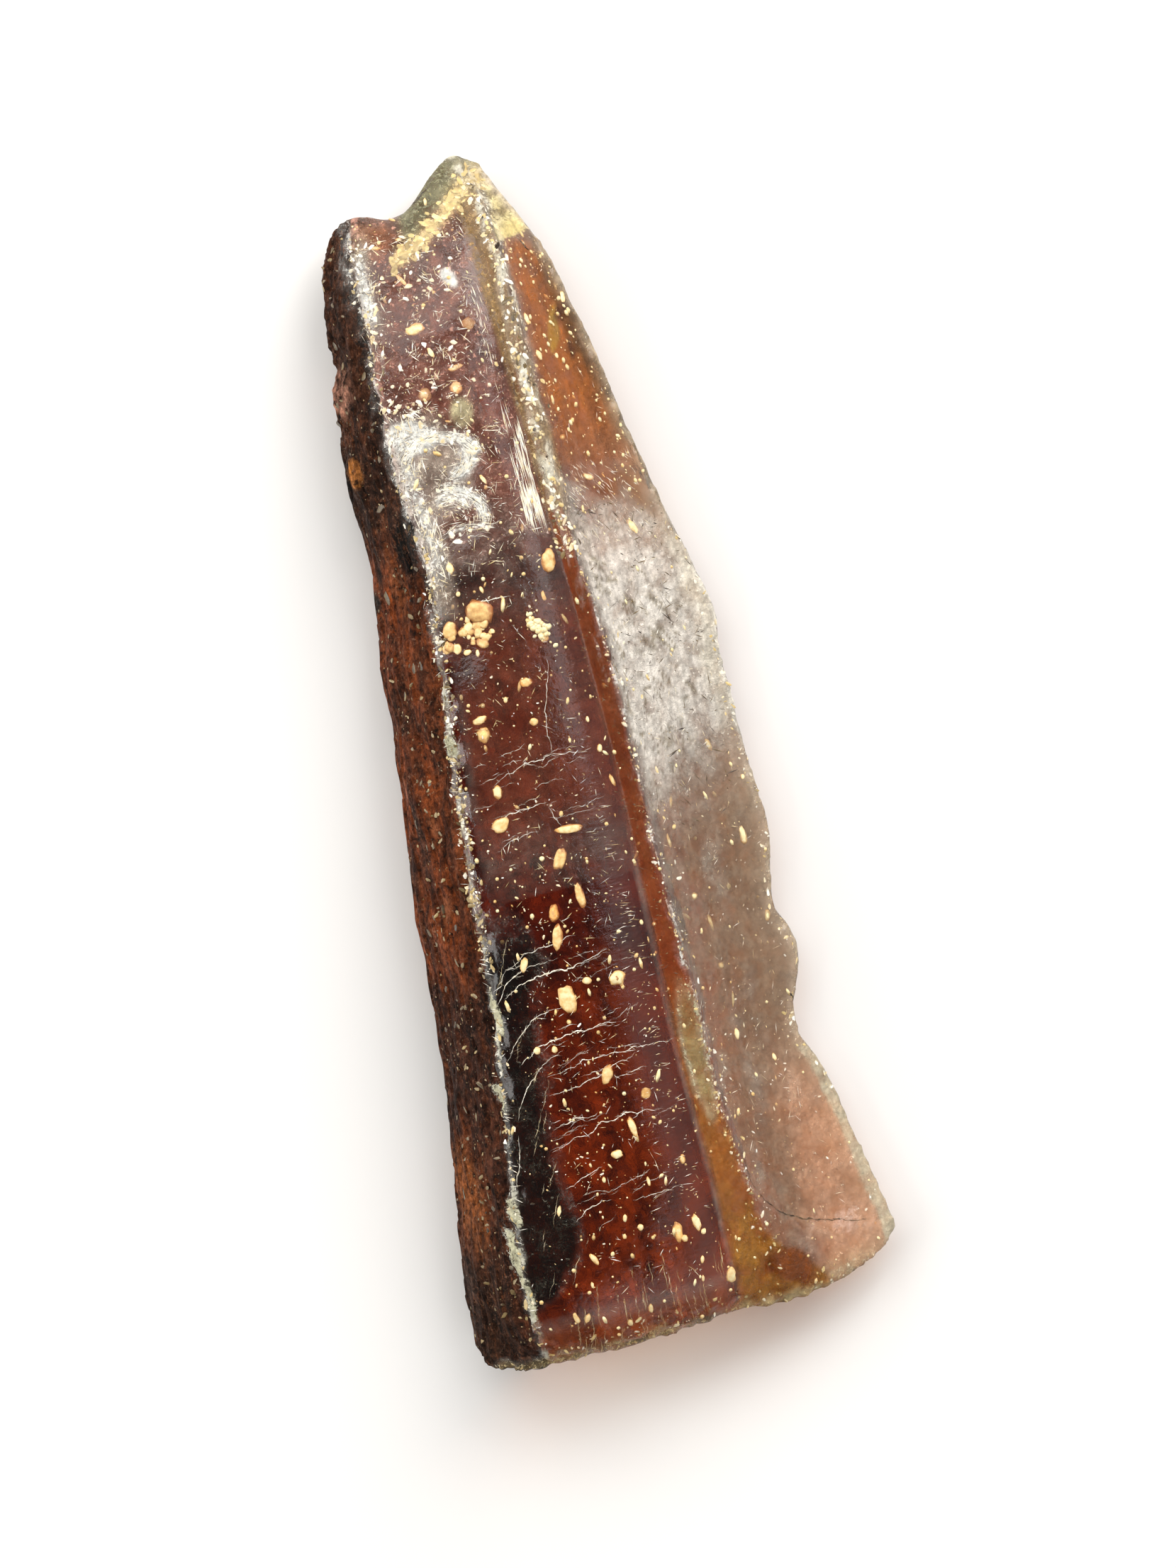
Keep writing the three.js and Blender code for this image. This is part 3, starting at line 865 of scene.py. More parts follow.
def shell_glints():
    """Painted reflections of the glassy break: arcs in the hollow under the tip, a strip by the
    ridge.
    """
    return np.maximum.reduce([
        arc(-2.4, 18.7, 2.4, 1.7, 5, 150, 0.15), arc(-2.1, 18.9, 1.6, 1.1, -85, 30, 0.25),
        arc(-2.6, 15.1, 2.1, 1.95, -15, 95, 0.13), 0.8 * arc(-2.7, 15.0, 1.5, 1.55, 25, 110, 0.12),
        0.7 * arc(-1.8, 11.5, 3.2, 3.0, 60, 115, 0.04), 0.8 * spot(-3.7, 20.8, 1.6, 1.0, -0.4),
        0.55 * bell(past_ridge - 0.75, 0.5) * between(Y, 11.5, 22, 0.8),
    ])


def sheen_beside_ridge(low, high, reach, soft):
    """A thin strip of painted sheen on the main face, from the ridge to a reach in mm."""
    return between(past_ridge, *reach) * between(Y, low, high, soft)


# Painted sheen: a pale veil in the hollow below the tip, and strips beside the ridge.
painted_sheen = np.maximum.reduce([
    spot(-2.8, 18.6, 2.4, 3.4), sheen_beside_ridge(9.5, 22, (0.2, 1.7, 0.4), 1.5),
    sheen_beside_ridge(27.5, 34, (0.1, 1.2, 0.4), 1.5),
])
# Painted glints: the arcs, and a bright strip beside the ridge near the tip.
glints = np.maximum(shell_glints(), 0.75 * sheen_beside_ridge(28.5, 32.5, (0.15, 0.8, 0.3), 1.2))
print("foil and glints:", shares(painted_sheen, glints))

# %% Masks of the tip
cream_line = line((31.9, -2.4), (32.7, -0.5), (33.9, 1.0), (35.0, 2.3), (36.1, 3.4), (36.5, 4.6))
above_cream = Y - cream_line(X)
tip_mass = bell(above_cream, 0.72 + 0.14 * np.maximum(0, X - 1))
tip_mass *= ramp(X, -2.7, -2.0) * ramp(X, 5.0, 4.6)
tip_glass = ramp(above_cream + wobble, 0.4, 0.8) * ramp(X, -1.8, -1.0)
rising = Y - 0.32 * (X - 4.9)
tip_right = ramp(X, 4.2, 4.8) * ramp(rising + 0.3 * wobble, 31.7, 31.9)
yellow_band = tip_right * ramp(rising + 0.2 * wobble, 33.1, 32.8)
folds = 0.5 + 0.5 * np.sin(4.4 * (Y - 0.3 * X) + 4 * wobble + 1.0)
# A small pale triangle on the tip's glass is a painted glint.
painted_glint_patch = spot(0.95, 30.1, 0.45, 0.85, 0.35)
red_corner = spot(-3.3, 33.6, 1.4, 1.3)
olive_blob = spot(-0.3, 21.6, 0.7, 1.0)
print("crust, glass and right side of the tip:", shares(tip_mass, tip_glass, tip_right))

# %% Masks of the ridges and rims
# The pale ridges and arris are chipped, crushed resin, with painted glints on them as well.
chunks = 0.3 + 0.8 * ramp(grain(PLACE, (0.6, 1.5, 0.6), 45.0), -0.2, 0.4)
ridge_width = line(
    (0.25, -36), (0.3, -28), (0.14, -25), (0.15, 0), (0.2, 8), (0.45, 14), (0.4, 26), (0.7, 33),
)
ridge_line = chunks * bell(past_ridge - 0.15, ridge_width(Y))
wide_arris = chunks * bell(past_arris + 0.15, 0.6) * ramp(Y, 11, 15)
arris_share = line(
    (0.4, -38), (0.45, -24), (0.75, -19), (0.85, -11), (0.6, -6), (0.75, 4), (0.65, 12),
)
thin_arris = arris_share(Y) * chunks * bell(past_arris - 0.02, 0.25)
fringe = ramp(from_end + wobble, 1.0, 0.3) * facing_up
low_rim = on_wing * ramp(from_end + wobble, 3.0, 0.8)
wing_rim = bell(inside_wing, 0.55) * ramp(past_arris, 0.5, 1.0)
bevel = ramp(inside_wing + 0.6 * wobble, 0.95, 0.75) * ramp(past_arris, 1.0, 2.0)
bevel *= between(Y, -36.5, -22.5, 0.5)
print("left ridge, arris and wing's rim:", shares(ridge_line, wide_arris, wing_rim))

# %% Masks of the wing
# Painted sheen: the wing is painted pale silver across the band where its face would mirror a lamp.
painted_wing_sheen = ramp(Y + 0.5 * (X - 8) + 4 * wobble, 15.5, 9.5)
painted_wing_sheen *= ramp(Y - 0.7 * (X - 8) + 4 * wobble, -9.5, 1.5)
painted_wing_sheen *= on_wing
down_wing = np.stack([0.77 * X + 0.64 * Y, 0.64 * X - 0.77 * Y, Z], 1)
veins = painted_wing_sheen * ramp(np.abs(grain(down_wing, (0.55, 2.8, 1.0), 77.0)), 0.16, 0.02)
veins *= ramp(grain(PLACE, (2.0, 2.0, 2.0), 78.0), -0.3, 0.2)
amber_wing = on_wing * stretch(16.5, 32, 1.5)
worn_gray = on_wing * ramp(Y, 2, -8) * ramp(grain(PLACE, (1.8, 3.2, 1.8), 47.0), -0.1, 0.6)
print("silver, amber and gray wing:", shares(painted_wing_sheen, amber_wing, worn_gray))

# %% Masks of the main face and the groove
smoky = smoke() * ramp(past_ridge, 0.1, 0.5) * (Y < 0)
# The upper face's veil is scuffs and painted sheen both, and the pinkish veil below it is painted
# sheen.
upper_face = on_main * up(9, 16)
rosy_sheen = on_main * between(Y, -7, 10, 4) * ramp(past_ridge, 0.6, 1.6)
end_shade = on_main * ramp(from_end, 3.4, 1.8)
leaf = spot(4.3, -21.0, 0.75, 4.2)
leaf_rim = leaf * (1 - spot(4.3, -21.0, 0.55, 3.8))
groove_dust = between(past_groove, -0.25, 1.5, 0.2) * ramp(Y, 11, 16)
blotches = np.maximum.reduce([
    spot(*place_and_size, 0.1) for place_and_size in (
        (-6.1, 1.4, 0.4, 0.9), (-7.4, -15.6, 0.35, 1.6), (-8.5, -21.0, 0.25, 1.2),
        (-9.3, -28.0, 0.4, 1.2), (-9.8, -32.0, 0.28, 3.2),
    )
])
print("upper face, rosy face and blotches:", shares(upper_face, rosy_sheen, blotches))

# %% How opaque the scuffed skin is
# In cover and film, the glints, the glint patch, the sheen strips and the wing's sheen are painted
# light, as are the pinkish veil and part of the upper face's veil; the ridges are chipped resin
# with painted glints; the rest is crust and veil of crazed resin.
cover = np.maximum.reduce([
    0.85 * glints, 0.85 * tip_mass, 0.8 * tip_right, 0.85 * ridge_line, 0.95 * wide_arris,
    thin_arris, 0.4 * fringe, 0.35 * low_rim, 0.3 * wing_rim * between(Y, -24, 12, 1),
    0.6 * wing_rim * between(Y, -3, 10, 3), 0.25 * painted_wing_sheen, 0.24 * upper_face,
    0.4 * tip_glass, 0.9 * painted_glint_patch, 0.8 * blotches, 0.7 * leaf_rim, yellow_band,
    0.4 * groove_dust, 0.36 * painted_sheen, 0.14 * smoky, 0.2 * worn_gray,
])
film = np.maximum.reduce([
    0.75 * glints, 0.8 * painted_wing_sheen, 0.15 * upper_face, 0.45 * tip_glass, 0.6 * tip_mass,
    0.62 * tip_right, 0.28 * on_wing * ramp(Y, 0, -7), 0.35 * ridge_line, 0.35 * wide_arris,
    0.25 * on_band * ramp(Y, 18, 14), 0.4 * low_band, 0.4 * amber_wing, 0.4 * wing_rim,
    0.95 * wing_rim * between(Y, -2, 11, 2), 0.2 * fringe, 0.98 * corner, 0.6 * wedge,
    0.3 * leaf, 0.45 * groove_dust, 0.36 * painted_sheen, 0.03 * smoky, 0.34 * worn_gray,
    0.7 * painted_glint_patch, 0.3 * red_corner, 0.4 * olive_blob, 0.9 * yellow_band, 0.18 * end_shade,
    0.34 * low_rim, 0.1 * rosy_sheen, 0.5 * bevel,
])
print("cover and film:", shares(cover, film))

# %% What colour the scuffed skin has
SCUFF_AND_SHEEN_COLOR = paint(
    (0.88, 0.86, 0.80),
    # The upper face's mauve is scuffs and painted sheen both, and the pinkish layer after it is
    # painted sheen.
    (upper_face, (0.52, 0.26, 0.19)),
    (rosy_sheen, (0.44, 0.14, 0.08)),
    (end_shade, (0.38, 0.11, 0.03)),
    (red_corner, (0.62, 0.27, 0.16)),
    (olive_blob, (0.82, 0.74, 0.44)),
    (smoky, (0.095, 0.088, 0.06)),
    (amber_wing, (0.60, 0.19, 0.03)),
    (amber_wing * up(21, 17), (0.42, 0.17, 0.07)),
    (amber_wing * spot(8.4, 24, 0.7, 8.0, 0.2), (0.34, 0.13, 0.02)),
    (amber_wing * spot(6.6, 25.6, 0.35, 1.5, -0.25), (0.72, 0.42, 0.05)),
    (amber_wing * spot(7.6, 26.9, 0.8, 0.3, 0.5), (0.20, 0.06, 0.01)),
    (amber_wing * spot(7.4, 24.2, 0.2, 0.8), (0.20, 0.06, 0.01)),
    (on_band * ramp(Y, 18, 14), (0.33, 0.10, 0.03)),
    (low_band, (0.50, 0.20, 0.035)),
    (on_wing * ramp(Y, 2, -6), (0.43, 0.34, 0.24)),
    (worn_gray, (0.52, 0.46, 0.37)),
    (low_right_wing, (0.86, 0.56, 0.38)),
    (low_rim, (0.85, 0.70, 0.45)),
    (wedge, (0.45, 0.19, 0.02)),
    (corner, (0.24, 0.055, 0.0)),
    (leaf, (0.52, 0.45, 0.20)),
    (leaf_rim, (0.75, 0.70, 0.50)),
    (groove_dust, (0.42, 0.26, 0.10)),
    # Painted light: pale colour for the glint patch, the sheen strips, the glints and the wing's
    # sheen.
    (painted_glint_patch, (0.90, 0.89, 0.82)),
    (painted_sheen, (0.60, 0.50, 0.40)),
    (np.minimum(1, 2 * glints), (0.92, 0.91, 0.84)),
    (painted_wing_sheen, (0.94, 0.87, 0.77)),
    (painted_wing_sheen * up(7, 13), (0.93, 0.81, 0.70)),
    (veins, (0.42, 0.36, 0.27)),
    (painted_wing_sheen * ramp(inside_wing + wobble, 2.0, 0.5), (0.96, 0.88, 0.72)),
    # The ridges and the arris are chipped, pale resin, with painted glints as well.
    (ridge_line * (Y < 10), (0.66, 0.63, 0.50)),
    (blotches, (0.66, 0.63, 0.42)),
    (tip_glass, (0.33, 0.31, 0.18)),
    (np.maximum(tip_mass, fringe), (0.76, 0.58, 0.28)),
    (tip_right, (0.85, 0.70, 0.33)),
    (tip_right * ramp(folds, 0.45, 0.25), (0.34, 0.25, 0.10)),
    (yellow_band, (0.86, 0.68, 0.27)),
    (wide_arris, (0.84, 0.78, 0.62)),
    (wing_rim, (0.84, 0.70, 0.50)),
    (bevel, (0.80, 0.72, 0.52)),
    # Where the wing's rim runs through the painted sheen, it is painted whiter as well.
    (wing_rim * between(Y, -4, 12, 3), (0.98, 0.92, 0.79)),
)
print("mean colour of the scuffs:", mean_color(SCUFF_AND_SHEEN_COLOR))

# %% The scuffed skin as a thin piece
SCUFF_PROUD = 0.012
SCUFF_THICKNESS = 0.05
FAINTEST, LEAST_UP = 0.015, 0.05


def lift_skin():
    """A thin closed shell over the faces of the shard's top that carry scuffs and painted sheen."""
    mesh = amber.data.copy()
    mesh.name = "scuff_and_sheen_skin"
    store(mesh, "cover", cover)
    store(mesh, "film", film)
    store(mesh, "scuff and sheen color", SCUFF_AND_SHEEN_COLOR)
    scuffed = (np.maximum(cover, film) > FAINTEST) & (OUT[:, 2] > LEAST_UP)
    bm = bmesh.new()
    bm.from_mesh(mesh)
    clean = [face for face in bm.faces if not any(scuffed[v.index] for v in face.verts)]
    bmesh.ops.delete(bm, geom=clean, context="FACES")
    for vert in bm.verts:
        vert.co += vert.normal * SCUFF_PROUD
    for face in bm.faces:
        face.material_index = 0
    bm.to_mesh(mesh)
    bm.free()
    for name in ("stain", "skin paint"):
        mesh.attributes.remove(mesh.attributes[name])
    mesh.materials.clear()
    print("scuff and sheen skin:", len(mesh.polygons), "faces")
    return new_object("scuff_and_sheen_skin", mesh)


scuff_and_sheen_skin = lift_skin()

# %% [markdown]
# Crazed resin is pale, and shinier where it is whole. Its crust comes from a fine noise that the
# cover lets through, the veil varies in patches, and hairlines wander between them. Its colour is
# painted darker in the low parts of the wrinkles that run down the wing and of the crumbs, as
# painted shade of their relief, and fibres that run along the shard streak it as grain.

# %% Pattern: hairlines
def hairlines(tree, place, size, width):
    """Thin winding cracks: where a cloudy noise passes its middle value. Sizes are in mm."""
    winding = {"Scale": 1 / size, "Detail": 3.0, "Roughness": 0.55, "Distortion": 1.4}
    noise = add(tree, "ShaderNodeTexNoise", {"Vector": place, **winding}).outputs[0]
    off = maths(tree, "ABSOLUTE", maths(tree, "SUBTRACT", noise, 0.5))
    return rescale(tree, off, 0.0, 0.5 * width / size, 1.0, 0.0)


# %% Finish: scuffed skin
WRINKLE_TURN = math.radians(50)
SKIN_RELIEF = 0.06
SKIN_SHINE = 0.35


def make_scuff_sheen_finish():
    material, tree, surface = new_finish("scuff and sheen skin")
    place = place_in_mm(tree)
    cover, film = stored(tree, "cover"), stored(tree, "film")
    turned = {"Vector": place, "Rotation": (0, 0, WRINKLE_TURN)}
    aslant = add(tree, "ShaderNodeMapping", turned).outputs[0]
    crazing = {"Vector": place, "Scale": 3.2, "Detail": 6.0, "Roughness": 0.72, "Distortion": 0.7}
    crumbs = rescale(tree, add(tree, "ShaderNodeTexNoise", crazing).outputs[0], 0.34, 0.66)
    across = {"Place": aslant, "Thickness": 0.45, "Length": 1.7, "Roughness": 0.6}
    along = {"Place": place, "Thickness": 0.3, "Length": 3.5, "Roughness": 0.6}
    wrinkles, fibres = use(tree, STREAKS, across), use(tree, STREAKS, along)
    patches = clouds(tree, place, 1.3, 4.0, 0.6)
    covered = maths(tree, "SUBTRACT", cover, 1.0)
    crust = rescale(tree, maths(tree, "ADD", crumbs, covered), 0.0, 0.15)
    veil = times(tree, film, rescale(tree, patches, 0.35, 0.65, 0.55, 1.4))
    coarse, fine = (hairlines(tree, place, size, 0.05) for size in (1.3, 0.6))
    among = rescale(tree, patches, 0.45, 0.6), rescale(tree, cover, 0.0, 0.3, 0.0, 0.8)
    threads = times(tree, maths(tree, "MAXIMUM", coarse, fine), *among)
    alpha = maths(tree, "MAXIMUM", maths(tree, "MAXIMUM", crust, veil), threads)
    # Painted shade: the colour is darker where the wrinkles and crumbs of the bump are low; the
    # fibres are grain.
    shade = times(
        tree, rescale(tree, crumbs, 0.1, 0.9, 0.84, 1.06),
        rescale(tree, wrinkles, 0.38, 0.62, 0.76, 1.08),
        rescale(tree, fibres, 0.35, 0.65, 0.85, 1.1),
    )
    color = tinted(tree, stored(tree, "scuff and sheen color", "Color"), shade)
    height = maths(tree, "ADD", times(tree, wrinkles, 2.0), crumbs)
    feed(tree, surface, {
        "Base Color": color, "Roughness": rescale(tree, crumbs, 0.2, 0.8, 0.45, 0.2),
        "Normal": bump(tree, height, SKIN_RELIEF), "Alpha": alpha, "Specular IOR Level": SKIN_SHINE,
    })
    return material


SCUFF_SHEEN_FINISH = make_scuff_sheen_finish()
scuff_and_sheen_skin.data.materials.append(SCUFF_SHEEN_FINISH)
print("scuff and sheen skin:", len(SCUFF_SHEEN_FINISH.node_tree.nodes), "nodes")

# %% [markdown]
# The small things in and on the resin are thousands of tiny solids: flecks, flakes, scratches.
# Each is one of two simple shapes, a ball or a double cone, made once with an operator. A copy is
# squeezed to its size, made lumpy, turned to lie along the surface and sunk to its depth, and at
# the end all copies of a kind are joined in one mesh. A tone for each copy picks its colour.

# %% Small solids: the two shapes
def as_arrays(bm):
    """A shape's points and faces as arrays, and the end of its bmesh."""
    points = np.array([tuple(v.co) for v in bm.verts])
    faces = np.array([[v.index for v in face.verts] for face in bm.faces])
    bm.free()
    return points, faces


def ball(rounds):
    bm = bmesh.new()
    bmesh.ops.create_icosphere(bm, subdivisions=rounds, radius=1.0)
    return as_arrays(bm)


def spindle():
    """A double cone of eight faces that lies along y, for scratches."""
    bm = bmesh.new()
    turned = Matrix.Rotation(math.pi / 2, 4, "X")
    bmesh.ops.create_uvsphere(bm, u_segments=4, v_segments=2, radius=1.0, matrix=turned)
    return as_arrays(bm)


BALLS = {rounds: ball(rounds) for rounds in (1, 2, 3)}
SPINDLE = spindle()
print("triangles of the balls:", [len(faces) for _, faces in BALLS.values()])

# %% Small solids: their luck, and the surface they lie on
SEED = 11
rng = random.Random(SEED)
dice = np.random.default_rng(SEED)
ABOVE = 30
SURFACE = BVHTree.FromPolygons(
    [v.co.copy() for v in amber.data.vertices], [tuple(p.vertices) for p in amber.data.polygons]
)


def surface_at(x, y):
    """The shard's upper surface at x, y: a place and its outward direction, or None beside it."""
    place, normal, _, _ = SURFACE.ray_cast(Vector((x, y, ABOVE)), Vector((0, 0, -1)))
    return None if place is None else (np.array(place), np.array(normal))


print("top at the middle, mm:", round(float(surface_at(0, 0)[0][2]), 1))


# %% Small solids: how a copy is placed
def put(pile, shape, x, y, sizes, turn, depth, tone, lumpy=0.0, rim=0.0):
    """Adds a copy of a shape to a pile, in mm. sizes are across, along and thick; turn is from +Y.

    lumpy is how far it bulges, and rim how much darker its rim is painted, as painted shade at its
    edge.
    """
    found = surface_at(x, y)
    if found is None:
        return
    place, normal = found
    across = np.cross((0, 1, 0), normal)
    across /= np.linalg.norm(across)
    along = np.cross(normal, across)
    c, s = math.cos(turn), math.sin(turn)
    axes = np.array([c * across + s * along, c * along - s * across, normal])
    unit, faces = shape
    points = unit * (np.array(sizes) / 2)
    if lumpy:
        bulge = grain(unit, (0.9, 0.9, 0.9), 9.7 * x)
        bulge += 0.6 * grain(unit, (0.4, 0.4, 0.9), 5.3 * y)
        points = points * (1 + lumpy * bulge)[:, None]
    # Painted shade: each copy's rim is painted darker, where it meets the resin.
    tones = tone - rim * ramp(np.hypot(unit[:, 0], unit[:, 1]), 0.7, 1.0)
    pile.append((points @ axes + place - normal * depth, faces, tones))


# %% Small solids: how they are joined
def join_pile(name, pile, finish):
    """One mesh of all the copies in a pile, with their tones as an attribute."""
    starts = np.cumsum([0] + [len(points) for points, _, _ in pile])
    points = np.concatenate([points for points, _, _ in pile])
    faces = np.concatenate([faces + start for (_, faces, _), start in zip(pile, starts)])
    mesh = bpy.data.meshes.new(name)
    mesh.from_pydata(points.tolist(), [], faces.tolist())
    store(mesh, "tone", np.concatenate([tones for _, _, tones in pile]))
    mesh.materials.append(finish)
    print(name + ":", len(pile), "solids,", len(faces), "triangles")
    return new_object(name, mesh)


# %% [markdown]
# Both finishes of the small solids work alike. A tone that each copy carries picks a colour on a
# ramp, from brown or black to cream or silver, and a little noise mottles it.

# %% Finishes for the small solids
def make_toned(name, stops, roughness, mottled):
    """A finish whose colour goes through a few stops by tone, mottled by an amount."""
    material, tree, surface = new_finish(name)
    mottle = clouds(tree, place_in_mm(tree), 0.3, 3.0)
    change = rescale(tree, mottle, 0.3, 0.7, -mottled, 0.7 * mottled)
    tone = maths(tree, "ADD", stored(tree, "tone"), change)
    colors = add(tree, "ShaderNodeValToRGB", {"Fac": tone})
    marks = colors.color_ramp.elements
    marks.remove(marks[1])
    marks[0].position, marks[0].color = stops[0]
    for position, color in stops[1:]:
        marks.new(position).color = color
    feed(tree, surface, {
        "Base Color": colors.outputs["Color"], "Roughness": roughness,
        "Normal": bump(tree, mottle, 0.03, 0.6),
    })
    return material


CREAM_STOPS = (
    (0.0, (0.42, 0.17, 0.05, 1)), (0.5, (0.80, 0.52, 0.20, 1)), (1.0, (0.93, 0.82, 0.48, 1)),
)
BRUISE_STOPS = (
    (0.0, (0.03, 0.018, 0.012, 1)), (0.3, (0.27, 0.19, 0.08, 1)), (0.65, (0.72, 0.54, 0.23, 1)),
    (1.0, (0.92, 0.90, 0.82, 1)),
)
FLECK_FINISH = make_toned("cream fleck", CREAM_STOPS, roughness=0.4, mottled=0.3)
BRUISE_FINISH = make_toned("bruised resin", BRUISE_STOPS, roughness=0.28, mottled=0.1)
print("finishes:", FLECK_FINISH.name, "and", BRUISE_FINISH.name)

# %% [markdown]
# Cream flecks are burst bubbles and grains in the resin, from specks to a millimetre or two. The
# larger ones have their own place, size and turn, and the specks are strewn from a fixed seed.
# They are sunk under the surface, so that the resin colours the deep ones. A texture couldn't be
# seen at a depth.

# %% Flecks with their own place
FLECKS = (
    # x, y, across, along and tone, then a turn in degrees and a depth where they aren't 0
    (-1.9, 27.4, 1.2, 0.8, 0.8, 10, 0.05), (-2.0, 30.7, 0.3, 0.95, 1.0, 35, 0.05),
    (-1.3, 25.7, 0.3, 0.7, 1.0, 15), (0.0, 24.4, 1.0, 0.35, 0.9, 8, 0.05),
    (7.7, 27.6, 0.4, 0.8, 0.9, -12), (5.1, 26.5, 0.45, 0.85, 0.9), (5.3, 24.1, 0.55, 0.7, 0.9, 20),
    (6.4, 23.9, 0.35, 0.4, 0.9), (5.5, 18.7, 0.6, 0.4, 0.7, 10, 0.05),
    (6.5, 15.9, 0.95, 0.4, 0.9, -20, 0.05), (6.1, 31.5, 0.35, 0.4, 0.9, 0, 0.05),
    (-3.2, 33.2, 0.8, 0.3, 0.9, -20, 0.05), (-1.6, 33.4, 0.4, 0.35, 0.9, 0, 0.05),
    (2.75, 11.2, 1.05, 1.5, 0.55, -15), (-2.3, 9.1, 1.9, 1.5, 0.4, -35),
    (-3.5, 8.1, 0.8, 0.65, 0.6, 20), (-2.6, 8.2, 0.8, 0.55, 0.5, -30),
    (-2.25, 7.4, 0.75, 0.5, 0.6, 25), (-4.35, 8.4, 0.85, 1.2, 0.6, -30),
    (-4.8, 7.4, 0.6, 0.9, 0.5, -25), (-4.2, 7.2, 0.55, 0.7, 0.8, 10), (-3.6, 6.8, 0.5, 0.4, 0.9),
    (-3.0, 6.6, 0.25, 0.5, 1.0), (0.9, 7.5, 0.6, 1.2, 0.8, 25, 0.1),
    (1.35, 6.6, 0.5, 0.8, 0.8, -20, 0.1), (8.5, 12.2, 0.55, 1.1, 0.9, 30),
    (-3.3, 10.5, 0.3, 0.35, 0.8), (-1.8, 10.4, 0.25, 0.5, 0.9, 10),
    (1.9, 9.1, 0.25, 0.7, 0.8, 0, 0.05), (-0.5, 4.1, 0.75, 0.6, 0.6, -15, 0.05),
    (-2.0, 3.3, 0.3, 0.4, 0.9), (-3.9, 2.45, 0.95, 0.5, 0.8, 8),
    (-3.9, 1.5, 0.85, 1.0, 0.9, 0, 0.2), (-0.6, 1.55, 0.55, 0.5, 0.7, 25),
    (1.3, -0.1, 0.2, 0.35, 1.0), (3.0, -1.05, 0.4, 0.5, 1.0), (2.7, 0.9, 0.25, 0.4, 1.0),
    (-3.9, -2.2, 0.6, 0.9, 0.9, 5, 0.05), (-4.2, -4.2, 1.1, 0.9, 0.7, 20),
    (-0.1, -5.5, 1.7, 0.55, 0.75, -6, 0.05), (-1.1, -7.2, 0.7, 1.35, 0.6, -28),
    (3.3, -3.2, 0.3, 0.8, 0.9, 15, 0.05), (9.85, -2.5, 0.4, 0.85, 0.9, 18, 0.05),
    (9.7, 2.5, 0.5, 0.7, 0.9, -20, 0.25), (6.6, -5.4, 0.3, 0.9, 0.9, -20, 0.1),
    (11.5, -5.0, 0.35, 0.35, 1.0), (10.6, -8.6, 0.6, 1.25, 0.85, 0, 0.05),
    (-2.2, -6.9, 0.35, 0.35, 1.0), (5.85, -7.8, 0.3, 0.9, 0.9, 5, 0.05),
    (-0.45, -9.7, 0.55, 1.55, 0.6, 2), (-2.3, -10.4, 0.65, 1.1, 0.45, -12, 0.1),
    (-2.45, -11.9, 0.65, 1.65, 0.55, -16), (-4.9, -13.1, 0.5, 1.0, 0.8, -22),
    (-2.75, -15.8, 1.0, 1.85, 0.8, 4), (-1.3, -15.0, 0.6, 0.5, 0.85), (-5.4, -18.5, 0.5, 0.5, 0.9),
    (-4.3, -18.7, 0.4, 0.45, 0.8), (-1.5, -21.0, 0.75, 1.15, 0.7, -22),
    (-0.75, -24.6, 0.45, 1.4, 0.85, 12), (-2.1, -26.05, 0.75, 0.5, 0.95, -5),
    (0.6, -22.8, 0.65, 0.75, 0.6, 0, 0.2), (-3.3, -27.4, 0.25, 0.4, 0.9),
    (1.8, -27.4, 0.4, 0.6, 0.7, 0, 0.05), (-0.6, -28.2, 0.22, 0.6, 0.9),
    (-2.6, -30.1, 0.28, 0.5, 0.9, -10), (-1.8, -30.9, 0.4, 0.45, 0.9),
    (-2.9, -31.2, 0.25, 0.35, 0.9), (0.45, -31.8, 0.6, 1.3, 0.75, 5, 0.1),
    (0.75, -32.3, 0.4, 0.5, 0.9, 30), (1.7, -31.5, 0.5, 1.1, 0.95, 10),
    (2.0, -32.2, 0.35, 0.45, 0.9, -30), (3.0, -35.4, 0.7, 0.95, 0.9, 8),
    (0.55, -15.3, 1.1, 0.9, 0.85, 10), (0.5, -15.3, 0.45, 0.4, 0.1, 0, -0.12),
    (-5.1, -32.1, 0.35, 0.8, 0.9, 25), (-6.5, -28.6, 0.25, 0.7, 1.0, -20),
    (-6.6, -24.4, 0.5, 0.35, 0.5, 0, 0.05), (-7.1, -35.5, 0.35, 0.8, 0.7, 10),
    (-6.4, -35.7, 0.35, 0.7, 0.7, -30), (-5.6, -33.7, 0.2, 0.45, 0.9), (-2.4, -36.1, 0.3, 0.7, 0.8),
    (-3.9, -36.7, 0.4, 0.6, 0.8, 15), (1.5, -33.9, 0.25, 0.5, 0.9, -15),
    (1.25, -35.1, 0.2, 0.45, 0.9), (2.9, -12.3, 0.3, 0.35, 1.0),
    (6.6, -11.6, 0.6, 0.5, 0.85, -10, 0.05), (7.2, -13.5, 0.35, 1.15, 0.9, 3, 0.1),
    (10.9, -14.0, 0.45, 0.8, 0.9, -20, 0.05), (7.2, -16.3, 0.5, 0.45, 0.9, 0, 0.1),
    (7.4, -18.6, 0.25, 0.9, 1.0, -4, 0.05), (7.1, -20.8, 0.5, 0.8, 1.0, 5),
    (9.1, -22.9, 0.35, 0.5, 1.0), (8.9, -11.6, 0.4, 0.5, 0.9, 0, 0.1),
    (-2.35, 23.2, 0.8, 0.9, 0.9, 20, 0.15), (-0.3, 23.2, 0.75, 0.8, 0.8, 0, 0.1),
    (1.5, 27.0, 0.8, 0.7, 0.8, 0, 0.4), (0.0, 17.1, 0.25, 0.7, 0.9, 25),
    (-3.4, 12.2, 0.45, 0.8, 1.0, 10),
)
print("flecks with their own place:", len(FLECKS))

